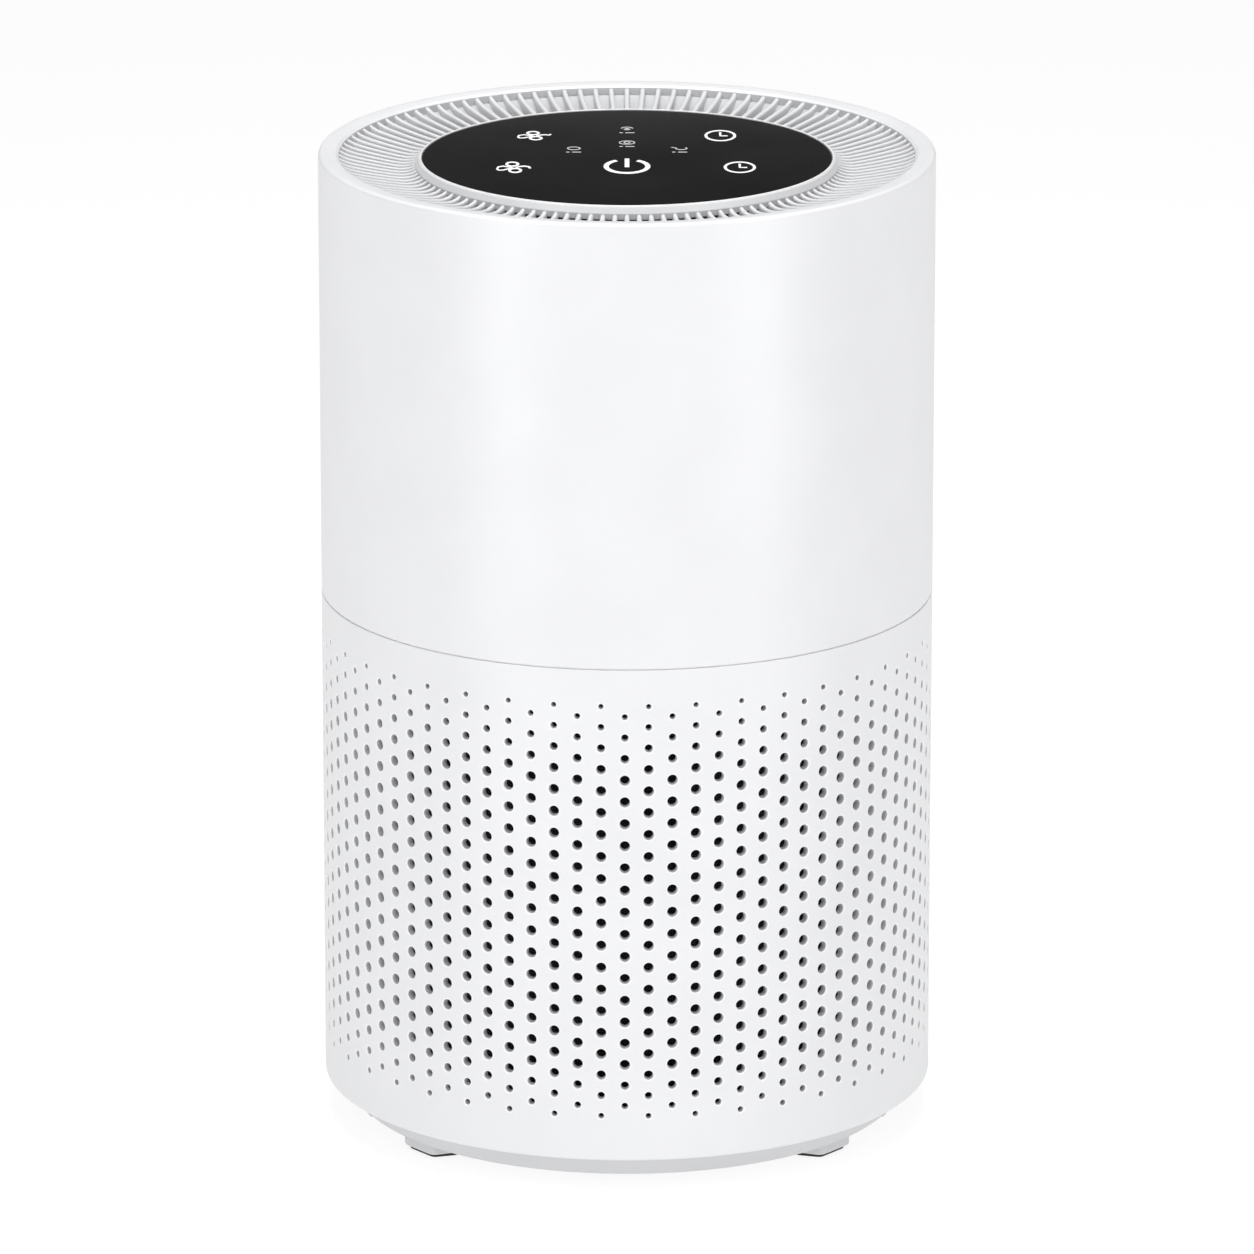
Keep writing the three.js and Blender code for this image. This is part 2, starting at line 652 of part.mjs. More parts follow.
addPart('motor_bracket', motorBracket(), steel);
addPart('motor_stator', motorStator(), copper);
BEARING_SEATS.forEach((bottom, index) => {
  const bearing = ring(SHAFT_RADIUS + GAP, BEARING_RADIUS, bottom, bottom + 5, 16);
  addPart(`motor_bearing_${index + 1}`, bearing, steel);
});
directions(3, 30).forEach((angle, index) => {
  const fastener = screw(SCREW_HEAD, 1.8, SCREW_SHANK, 8).rotateX(Math.PI);
  fastener.translate(0, 0, BRACKET_BOTTOM + 3.1);
  addPart(`motor_screw_${index + 1}`, at(fastener, MOTOR_POST_RADIUS, angle), steel);
});

// ---------------------------------------------------------------- rotor, shaft and impeller

const IMPELLER_BOTTOM = 204;
const BACKPLATE = 254;

// One backward-curved blade: an arc of constant thickness from the eye to the rim of the wheel.
function impellerBlade(angle) {
  const steps = 4;
  const line = Array.from({ length: steps + 1 }, (_, index) => {
    const fraction = index / steps;
    const radius = 53 + 32 * fraction;
    const turn = radians(angle - 38 * fraction);
    return new THREE.Vector2(radius * Math.cos(turn), radius * Math.sin(turn));
  });
  const back = line.map((point) => point.clone().multiplyScalar(1 + 2.2 / point.length())).reverse();
  return prism(new THREE.Shape([...line, ...back]), IMPELLER_BOTTOM + 1.5, BACKPLATE + 1);
}

function impeller() {
  const wheel = revolve([
    [SHAFT_RADIUS + GAP, 226],
    [11, 226],
    [13, BACKPLATE],
    [87, BACKPLATE],
    [87, BACKPLATE + 2.2],
    [SHAFT_RADIUS + GAP, BACKPLATE + 2.2],
  ]);
  const inletRing = revolve([
    [54, IMPELLER_BOTTOM],
    [87, IMPELLER_BOTTOM + 3],
    [87, IMPELLER_BOTTOM + 5],
    [54, IMPELLER_BOTTOM + 2],
  ]);
  const blades = directions(BLADE_COUNT).map(impellerBlade);
  return join(wheel, inletRing, ...blades);
}

function motorRotor() {
  return revolve([
    [SHAFT_RADIUS + GAP, 262],
    [28, 262],
    [30, 264],
    [30, 288],
    [26.4, 288],
    [26.4, 264.5],
    [SHAFT_RADIUS + GAP, 264.5],
  ]);
}

function impellerNut() {
  return cut(disc(6.5, 219.5, 225.5, 6), disc(SHAFT_RADIUS + GAP, 210, 230, SMALL_SEGMENTS));
}

addPart('impeller', impeller(), whitePlastic);
addPart('impeller_nut', impellerNut(), steel);
addPart('motor_rotor', motorRotor(), steel);
addPart('motor_shaft', disc(SHAFT_RADIUS, 217, 291, SMALL_SEGMENTS), steel);

// ---------------------------------------------------------------- power inlet and internal leads

// A round low-voltage socket in a block that fills the window in the rear of the housing.
function powerInlet() {
  const face = BODY_RADIUS - 3;
  const blockBottom = INLET_Z - INLET_HEIGHT / 2 + 0.4;
  const block = box(INLET_WIDTH - 0.8, 14, INLET_HEIGHT - 0.8, 0, face - 7, blockBottom);
  const socket = disc(3.4, 0, 11, SMALL_SEGMENTS).rotateX(-Math.PI / 2).translate(0, face - 10, INLET_Z);
  const pin = disc(0.9, 0, 10.4, 8).rotateX(-Math.PI / 2).translate(0, face - 11, INLET_Z);
  return join(cut(block, socket), pin);
}

// A round lead that follows a smooth line through the points given.
function lead(points, radius, steps) {
  const stops = points.map(([x, y, z]) => new THREE.Vector3(x, y, z));
  const route = new THREE.CatmullRomCurve3(stops, false, 'centripetal');
  const section = new THREE.Shape(directions(6).map((angle) => (
    new THREE.Vector2(radius * Math.cos(radians(angle)), radius * Math.sin(radians(angle)))
  )));
  return new THREE.ExtrudeGeometry(section, { steps, bevelEnabled: false, extrudePath: route });
}

addPart('power_inlet', powerInlet(), darkPlastic);
addPart('power_lead', lead([
  [0, 99.5, 224.5], [0, 99.8, 240], [0, 100.3, 280], [0, 100.3, 318], [0, 98, 330],
  [0, 90, 333.4], [0, 76, 333.4], [0, 62, 332.8], [0, 50, 328], [0, 38, 319], [0, 32, 311.8],
], 1.8, 28), darkPlastic);
addPart('motor_lead', lead([
  [24, 0, 297], [28, 0, 299], [30, 0, 302], [30, 0, 304.5], [29, 0, 307.4],
], 1.4, 8), darkPlastic);

export default group;
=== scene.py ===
"""The looks of a cylindrical tabletop air purifier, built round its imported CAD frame.

Outlines are written in millimetres and turned into metres by the mesh helpers. +Z is up, the front is
towards -Y and the cylinder's axis is the Z axis. Every place comes from the frame's boxes or from the few
named sizes below.
"""

import math

import bpy
from mathutils import Matrix, Vector


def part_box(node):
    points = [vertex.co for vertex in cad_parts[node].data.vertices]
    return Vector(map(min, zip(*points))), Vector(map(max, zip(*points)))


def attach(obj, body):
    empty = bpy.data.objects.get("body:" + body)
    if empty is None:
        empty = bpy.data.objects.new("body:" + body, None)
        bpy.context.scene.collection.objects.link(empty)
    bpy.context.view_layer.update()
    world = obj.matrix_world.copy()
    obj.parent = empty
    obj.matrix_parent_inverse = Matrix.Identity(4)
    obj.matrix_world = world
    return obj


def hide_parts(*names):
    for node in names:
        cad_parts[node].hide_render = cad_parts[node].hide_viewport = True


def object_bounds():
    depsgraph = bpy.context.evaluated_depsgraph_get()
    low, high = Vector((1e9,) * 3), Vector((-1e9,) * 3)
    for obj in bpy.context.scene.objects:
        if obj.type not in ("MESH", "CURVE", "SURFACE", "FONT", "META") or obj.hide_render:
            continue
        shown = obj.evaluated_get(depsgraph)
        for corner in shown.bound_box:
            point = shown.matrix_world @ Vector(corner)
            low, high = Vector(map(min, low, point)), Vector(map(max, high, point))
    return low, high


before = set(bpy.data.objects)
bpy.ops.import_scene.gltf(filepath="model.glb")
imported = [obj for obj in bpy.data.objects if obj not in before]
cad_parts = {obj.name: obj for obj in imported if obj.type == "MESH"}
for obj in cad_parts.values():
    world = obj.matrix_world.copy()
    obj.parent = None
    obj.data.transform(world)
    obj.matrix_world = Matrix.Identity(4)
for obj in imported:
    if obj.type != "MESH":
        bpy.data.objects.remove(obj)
cad_low, cad_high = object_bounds()

MM = 0.001
TAU = 2 * math.pi


def low(node):
    """The lowest corner of a CAD node, in millimetres."""
    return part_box(node)[0] / MM


def high(node):
    """The highest corner of a CAD node, in millimetres."""
    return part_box(node)[1] / MM


# ------------------------------------------------------------------ sizes taken from the frame

BODY_RADIUS = cad_high.x / MM
RIM_TOP = cad_high.z / MM
COVER_BOTTOM = low("intake_cover").z - 0.5
COVER_TOP = high("intake_cover").z
SEAM_GAP = 0.42
GROOVE_DEPTH = 0.42
WALL = 2.6
INNER_RADIUS = BODY_RADIUS - WALL
PANEL_RADIUS = high("display_panel").x
PANEL_TOP = high("display_panel").z
PANEL_BACK = low("display_panel").z
BASE_BOTTOM = 4.9
BASE_RADIUS = 98.7
FILTER_RADIUS = high("filter_top_cap").x
FILTER_TOP = high("filter_top_cap").z
FILTER_BOTTOM = low("filter_bottom_cap").z
CORE_RADIUS = 44

RIM_INNER_RADIUS = 102.6
VANE_COUNT = 112
COLUMN_COUNT = 82
HOLE_DIAMETER = 3.85


# ------------------------------------------------------------------ mesh helpers


def polar(radius, angle, z=0.0):
    """A point at a radius and an angle in degrees anticlockwise from +X, in millimetres."""
    turn = math.radians(angle)
    return Vector((radius * math.cos(turn), radius * math.sin(turn), z))


def rounded(outline, steps=5):
    """An outline of (x, y) or (x, y, fillet radius) points with its fillets drawn as arcs."""
    result = []
    count = len(outline)
    for index, point in enumerate(outline):
        here = Vector(point[:2])
        fillet = point[2] if len(point) > 2 else 0
        if not fillet:
            result.append(tuple(here))
            continue
        back = (Vector(outline[index - 1][:2]) - here).normalized()
        ahead = (Vector(outline[(index + 1) % count][:2]) - here).normalized()
        half = back.angle(ahead) / 2
        reach = fillet / math.tan(half)
        centre = here + (back + ahead).normalized() * (fillet / math.sin(half))
        start = here + back * reach - centre
        end = here + ahead * reach - centre
        sweep = start.angle_signed(end)
        for step in range(steps + 1):
            arm = start.copy()
            arm.rotate(Matrix.Rotation(-sweep * step / steps, 2))
            result.append(tuple(centre + arm))
    return result


def rounded_rectangle(half_length, half_width, corner, steps=5):
    """An anticlockwise rectangle centred on the origin, its corners rounded."""
    return rounded([(half_length, -half_width, corner), (half_length, half_width, corner),
                    (-half_length, half_width, corner), (-half_length, -half_width, corner)], steps)


def new_object(name, data):
    """A new object in the scene, made from a mesh, a light or a camera."""
    item = bpy.data.objects.new(name, data)
    bpy.context.scene.collection.objects.link(item)
    return item


def finish_mesh(name, vertices, faces, material, sharp_angle=35):
    """A smooth-shaded object from points in millimetres."""
    mesh = bpy.data.meshes.new(name)
    mesh.from_pydata([Vector(v) * MM for v in vertices], [], faces)
    mesh.validate()
    mesh.materials.append(material)
    mesh.shade_smooth()
    if sharp_angle:
        mesh.set_sharp_from_angle(angle=math.radians(sharp_angle))
    piece = new_object(name, mesh)
    if sharp_angle:
        weighted = piece.modifiers.new("even_shading", "WEIGHTED_NORMAL")
        weighted.keep_sharp = True
    return piece


def revolved(outline, segments, closed=True):
    """Points and faces of an anticlockwise (radius, z) outline turned round the Z axis."""
    vertices, faces = [], []
    rows = len(outline)
    on_axis = [abs(radius) < 1e-6 for radius, _ in outline]
    starts = []
    for (radius, z), axis in zip(outline, on_axis):
        starts.append(len(vertices))
        turns = 1 if axis else segments
        vertices += [polar(radius, 360 * i / segments, z) for i in range(turns)]
    pairs = rows if closed else rows - 1
    for row in range(pairs):
        after = (row + 1) % rows
        if on_axis[row] and on_axis[after]:
            continue
        for i in range(segments):
            j = (i + 1) % segments
            a = starts[row] + (0 if on_axis[row] else i)
            b = starts[row] + (0 if on_axis[row] else j)
            c = starts[after] + (0 if on_axis[after] else j)
            d = starts[after] + (0 if on_axis[after] else i)
            faces.append([k for n, k in enumerate((a, b, c, d)) if k not in (a, b, c, d)[:n]])
    return vertices, faces


class Builder:
    """Collects several closed forms into one mesh."""

    def __init__(self):
        self.vertices = []
        self.faces = []

    def add(self, vertices, faces):
        start = len(self.vertices)
        self.vertices += [Vector(v) for v in vertices]
        self.faces += [[index + start for index in face] for face in faces]

    def ring(self, outline, segments=128, closed=True):
        self.add(*revolved(outline, segments, closed))

    def tube(self, inner, outer, bottom, top, segments):
        self.ring([(inner, bottom), (outer, bottom), (outer, top), (inner, top)], segments)

    def prism(self, outline, bottom, top, turn=0, bevel=0.0):
        """An anticlockwise outline in the XY plane raised from bottom to top, its top and bottom edges
        drawn in by bevel."""
        count = len(outline)
        middle = sum((Vector(p) for p in outline), Vector((0, 0))) / count
        levels = [(bottom, bevel), (bottom + bevel, 0), (top - bevel, 0), (top, bevel)]
        if not bevel:
            levels = [(bottom, 0), (top, 0)]
        vertices = []
        spin = Matrix.Rotation(math.radians(turn), 3, "Z")
        for z, inset in levels:
            for point in outline:
                arm = Vector(point) - middle
                arm = arm * (1 - inset / max(arm.length, 1e-6)) + middle
                vertices.append(spin @ Vector((arm.x, arm.y, z)))
        faces = [list(reversed(range(count)))]
        for level in range(len(levels) - 1):
            for i in range(count):
                j = (i + 1) % count
                base = level * count
                faces.append([base + i, base + j, base + count + j, base + count + i])
        faces.append([(len(levels) - 1) * count + i for i in range(count)])
        self.add(vertices, faces)

    def wall(self, outside, inside, bottom, top):
        """A closed wall between two anticlockwise outlines that have the same number of points."""
        count = len(outside)
        vertices = []
        for z in (bottom, top):
            vertices += [(point[0], point[1], z) for point in outside + inside]
        faces = []
        for i in range(count):
            j = (i + 1) % count
            out, hole, up = 0, count, 2 * count
            faces.append([out + i, out + j, up + out + j, up + out + i])
            faces.append([hole + j, hole + i, up + hole + i, up + hole + j])
            faces.append([up + out + i, up + out + j, up + hole + j, up + hole + i])
            faces.append([out + j, out + i, hole + i, hole + j])
        self.add(vertices, faces)

    def plate(self, outline, thickness, angle):
        """A thin plate standing on a radius: its outline is (radius, z) points, anticlockwise."""
        count = len(outline)
        turn = Matrix.Rotation(math.radians(angle), 3, "Z")
        vertices = []
        for side in (1, -1):
            for radius, z in outline:
                vertices.append(turn @ Vector((radius, side * thickness / 2, z)))
        faces = [list(reversed(range(count))), [count + i for i in range(count)]]
        for i in range(count):
            j = (i + 1) % count
            faces.append([i, j, count + j, count + i])
        self.add(vertices, faces)

    def piece(self, name, material, sharp_angle=35):
        return finish_mesh(name, self.vertices, self.faces, material, sharp_angle)


def directions(count, first=0.0):
    """Evenly spaced directions, in degrees."""
    return [first + 360 * index / count for index in range(count)]


def arc_outline(inner, outer, start, end, steps=12):
    """A length of flat ring between two directions, as an anticlockwise outline."""
    turns = [start + (end - start) * step / steps for step in range(steps + 1)]
    outside = [tuple(polar(outer, turn)[:2]) for turn in turns]
    inside = [tuple(polar(inner, turn)[:2]) for turn in reversed(turns)]
    return outside + inside


def stand_for(piece, body, slot, *nodes):
    """Hands a finished piece to the frame: parents it to its body and hides the nodes it stands for. The slot
    argument is not used.
    """
    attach(piece, body)
    if nodes:
        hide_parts(*nodes)
    return piece


# ------------------------------------------------------------------ materials


def new_material(name, color, roughness, metallic=0.0, specular=0.5):
    """A Principled material and its node tree."""
    material = bpy.data.materials.new(name)
    material.use_nodes = True
    shader = material.node_tree.nodes["Principled BSDF"]
    shader.inputs["Base Color"].default_value = (*color, 1)
    shader.inputs["Roughness"].default_value = roughness
    shader.inputs["Metallic"].default_value = metallic
    shader.inputs["Specular IOR Level"].default_value = specular
    return material, shader


def color_ramp(tree, source, first, last, first_place=0.0, last_place=1.0):
    """The colour output of a ramp between two colours, driven by a socket."""
    ramp = tree.nodes.new("ShaderNodeValToRGB")
    ends = ramp.color_ramp.elements
    ends[0].color, ends[1].color = (*first, 1), (*last, 1)
    ends[0].position, ends[1].position = first_place, last_place
    tree.links.new(source, ramp.inputs["Fac"])
    return ramp.outputs["Color"]


def math_node(tree, operation, *operands):
    """The output of a maths node. Each operand is a socket or a number."""
    node = tree.nodes.new("ShaderNodeMath")
    node.operation = operation
    for slot, operand in zip(node.inputs, operands):
        if isinstance(operand, bpy.types.NodeSocket):
            tree.links.new(operand, slot)
        else:
            slot.default_value = operand
    return node.outputs[0]


def noise_field(material, place, scale, detail=2.0):
    """A noise field's value, in object space."""
    tree = material.node_tree
    noise = tree.nodes.new("ShaderNodeTexNoise")
    noise.inputs["Scale"].default_value = scale
    noise.inputs["Detail"].default_value = detail
    tree.links.new(place.outputs["Object"], noise.inputs["Vector"])
    return noise.outputs["Fac"]


def cell_field(material, place, scale):
    """The distance from the nearest of many scattered points, in object space."""
    tree = material.node_tree
    cells = tree.nodes.new("ShaderNodeTexVoronoi")
    cells.inputs["Scale"].default_value = scale
    tree.links.new(place.outputs["Object"], cells.inputs["Vector"])
    return cells.outputs["Distance"]


def add_noise(material, shader, scale, low_color, high_color, rough_low, rough_high, detail=3.0):
    """Drives colour and roughness from one noise field in object space."""
    tree = material.node_tree
    place = tree.nodes.new("ShaderNodeTexCoord")
    noise = noise_field(material, place, scale, detail)
    color = color_ramp(tree, noise, low_color, high_color, 0.35, 0.65)
    tree.links.new(color, shader.inputs["Base Color"])
    spread = tree.nodes.new("ShaderNodeMapRange")
    spread.inputs["To Min"].default_value = rough_low
    spread.inputs["To Max"].default_value = rough_high
    tree.links.new(noise, spread.inputs["Value"])
    tree.links.new(spread.outputs["Result"], shader.inputs["Roughness"])
    return place


def add_bump(material, shader, height_socket, strength, distance):
    """Feeds a height to the shader's normal, added to any bump that is already there."""
    tree = material.node_tree
    bump = tree.nodes.new("ShaderNodeBump")
    bump.inputs["Strength"].default_value = strength
    bump.inputs["Distance"].default_value = distance
    tree.links.new(height_socket, bump.inputs["Height"])
    earlier = shader.inputs["Normal"].links
    if earlier:
        tree.links.new(earlier[0].from_socket, bump.inputs["Normal"])
    tree.links.new(bump.outputs["Normal"], shader.inputs["Normal"])


def moulded_plastic(name, color, roughness, grain=0.25, specular=0.5):
    """Injection-moulded plastic: a fine spark-eroded grain, a little waviness and slight mottling."""
    material, shader = new_material(name, color, roughness, specular=specular)
    darker = tuple(c * 0.985 for c in color)
    lighter = tuple(min(1.0, c * 1.01) for c in color)
    place = add_noise(material, shader, 35, darker, lighter, roughness - 0.03, roughness + 0.03)
    add_bump(material, shader, noise_field(material, place, 2600), grain, 0.00003)
    add_bump(material, shader, noise_field(material, place, 60, 1.0), 0.08, 0.0002)
    return material


def soft_rubber():
    """Matt black rubber with a fine grain."""
    material, shader = new_material("soft_rubber", (0.012, 0.012, 0.013), 0.75)
    place = add_noise(material, shader, 400, (0.009, 0.009, 0.01), (0.02, 0.02, 0.021), 0.65, 0.85)
    add_bump(material, shader, noise_field(material, place, 1800), 0.4, 0.00008)
    return material


def glossy_panel():
    """Black hard-coated acrylic, faintly hazed and with a trace of polish waviness."""
    material, shader = new_material("black_acrylic", (0.009, 0.009, 0.0095), 0.16, specular=0.24)
    place = add_noise(material, shader, 18, (0.0085, 0.0085, 0.009), (0.011, 0.011, 0.0115), 0.13, 0.2)
    add_bump(material, shader, noise_field(material, place, 45, 1.0), 0.03, 0.0001)
    return material


def printed_ink(name, brightness):
    """The panel's translucent symbols: pale ink, faintly lit from behind."""
    color = (brightness, brightness, brightness)
    material, shader = new_material(name, color, 0.5)
    shader.inputs["Emission Color"].default_value = (*color, 1)
    shader.inputs["Emission Strength"].default_value = 0.25
    add_noise(material, shader, 900, tuple(c * 0.94 for c in color), color, 0.42, 0.58)
    return material


def woven_mesh():
    """Nylon net: two crossed sets of threads wound round the sleeve."""
    material, shader = new_material("nylon_net", (0.03, 0.032, 0.036), 0.6)
    tree = material.node_tree
    place = tree.nodes.new("ShaderNodeTexCoord")
    split = tree.nodes.new("ShaderNodeSeparateXYZ")
    tree.links.new(place.outputs["Object"], split.inputs["Vector"])
    turn = math_node(tree, "ARCTAN2", split.outputs["Y"], split.outputs["X"])
    threads_round, thread_pitch = 560.0, MM
    waves = []
    for socket, per_unit in ((turn, threads_round), (split.outputs["Z"], TAU / thread_pitch)):
        waves.append(math_node(tree, "SINE", math_node(tree, "MULTIPLY", socket, per_unit)))
    shade = tree.nodes.new("ShaderNodeMapRange")
    shade.inputs["From Min"].default_value = -0.2
    shade.inputs["From Max"].default_value = 0.9
    tree.links.new(math_node(tree, "MAXIMUM", *waves), shade.inputs["Value"])
    color = color_ramp(tree, shade.outputs["Result"], (0.012, 0.012, 0.014), (0.06, 0.063, 0.07))
    tree.links.new(color, shader.inputs["Base Color"])
    add_bump(material, shader, shade.outputs["Result"], 0.6, 0.0003)
    return material


def fibre_paper():
    """Off-white glass-fibre paper with a visible fibre texture."""
    material, shader = new_material("glass_fibre_paper", (0.84, 0.83, 0.8), 0.95)
    place = add_noise(material, shader, 240, (0.78, 0.77, 0.73), (0.87, 0.86, 0.84), 0.9, 1.0, 6.0)
    add_bump(material, shader, noise_field(material, place, 1500, 4.0), 0.5, 0.0001)
    return material


def carbon_granules():
    """Packed activated carbon, as cells about two millimetres across."""
    material, shader = new_material("carbon_granules", (0.012, 0.012, 0.013), 0.8)
    tree = material.node_tree
    place = tree.nodes.new("ShaderNodeTexCoord")
    # Each cell darkens towards its edge: painted shade in the gaps between granules.
    color = color_ramp(tree, cell_field(material, place, 520), (0.03, 0.03, 0.032), (0.004, 0.004, 0.004))
    tree.links.new(color, shader.inputs["Base Color"])
    add_bump(material, shader, color, 1.0, 0.002)
    return material


def open_foam():
    """Grey foam with open cells a little under a millimetre across."""
    material, shader = new_material("open_cell_foam", (0.09, 0.094, 0.1), 1.0)
    place = add_noise(material, shader, 120, (0.06, 0.062, 0.068), (0.12, 0.125, 0.13), 0.9, 1.0)
    add_bump(material, shader, cell_field(material, place, 1100), 0.9, 0.0004)
    return material


def plated_steel():
    """Zinc-plated steel, slightly uneven in colour."""
    material, shader = new_material("plated_steel", (0.6, 0.61, 0.63), 0.3, metallic=1.0)
    place = add_noise(material, shader, 90, (0.52, 0.53, 0.55), (0.66, 0.67, 0.69), 0.24, 0.38)
    add_bump(material, shader, noise_field(material, place, 900), 0.15, 0.00005)
    return material


def enamelled_copper():
    """Wound wire, as fine ridges round each tooth."""
    material, shader = new_material("enamelled_copper", (0.5, 0.2, 0.08), 0.35, metallic=0.8)
    place = add_noise(material, shader, 150, (0.42, 0.16, 0.06), (0.6, 0.27, 0.12), 0.3, 0.42)
    add_bump(material, shader, noise_field(material, place, 1400), 0.6, 0.0002)
    return material


def solder_mask():
    """A circuit board's green lacquer."""
    material, shader = new_material("green_solder_mask", (0.015, 0.1, 0.045), 0.35)
    place = add_noise(material, shader, 300, (0.012, 0.08, 0.036), (0.02, 0.13, 0.06), 0.3, 0.42, 5.0)
    add_bump(material, shader, noise_field(material, place, 700), 0.2, 0.0001)
    return material


WHITE = moulded_plastic("white_moulded_plastic", (0.752, 0.755, 0.768), 0.38, specular=1.0)
# Darker white for the base: painted shade on its slightly downward-facing band.
BASE_SHADE_WHITE = moulded_plastic("base_plastic_painted_shade", (0.6, 0.603, 0.615), 0.5)
# Darker white for the vanes' flanks: painted shade between the vanes.
VANE_SHADE_WHITE = moulded_plastic("vane_flank_painted_shade", (0.62, 0.623, 0.632), 0.42)
# Pale grey for the trim cone: partly the trim's own grey, partly painted shade.
CONE_GREY_SHADE = moulded_plastic("trim_cone_grey_and_painted_shade", (0.68, 0.683, 0.692), 0.4)
# Darker white for the inner wall under the rim: painted shade.
RIM_WALL_SHADE_WHITE = moulded_plastic("rim_wall_painted_shade", (0.56, 0.563, 0.572), 0.55)
# Darker white for the hoop and funnel under the vanes: painted shade.
FUNNEL_SHADE_WHITE = moulded_plastic("funnel_painted_shade", (0.52, 0.523, 0.532), 0.5)
# Darker white for the walls inside the intake holes: painted shade.
BORE_SHADE_WHITE = moulded_plastic("hole_bore_painted_shade", (0.5, 0.502, 0.512), 0.6)
# Brighter white for the hole lips, vane tops and panel lip: a painted highlight.
LIP_HIGHLIGHT_WHITE = moulded_plastic("lip_painted_highlight", (0.88, 0.88, 0.885), 0.25, grain=0.1)
GREY = moulded_plastic("grey_moulded_plastic", (0.5, 0.505, 0.52), 0.5)
DARK = moulded_plastic("dark_moulded_plastic", (0.025, 0.026, 0.028), 0.5)
RUBBER = soft_rubber()
PANEL = glossy_panel()
INK = printed_ink("symbol_ink", 0.85)
FAINT_INK = printed_ink("indicator_ink", 0.6)
NET = woven_mesh()
PAPER = fibre_paper()
CARBON = carbon_granules()
FOAM = open_foam()
STEEL = plated_steel()
COPPER = enamelled_copper()
BOARD = solder_mask()


# ------------------------------------------------------------------ perforated intake cover

TOP_ROW = 182.0
BOTTOM_ROW = 30.6
LONG_COLUMN = 20
HALF_ROWS = 2 * (LONG_COLUMN - 1)
ROW_CROWDING = 0.03
FIRST_COLUMN = -90.4
HOLE_SIDES = 16


def row_height(half_row):
    """Height of a row of holes, counted in half rows from the top. Rows crowd slightly at both ends."""
    share = 1 - 2 * half_row / HALF_ROWS
    share *= 1 + ROW_CROWDING * (1 - share * share)
    return (TOP_ROW + BOTTOM_ROW) / 2 + share * (TOP_ROW - BOTTOM_ROW) / 2


def hole_diameter(half_row):
    """Full size in the middle, tapering over the first few rows at both ends."""
    return min(HOLE_DIAMETER, 2.0 + 0.26 * half_row, 2.2 + 0.33 * (HALF_ROWS - half_row))


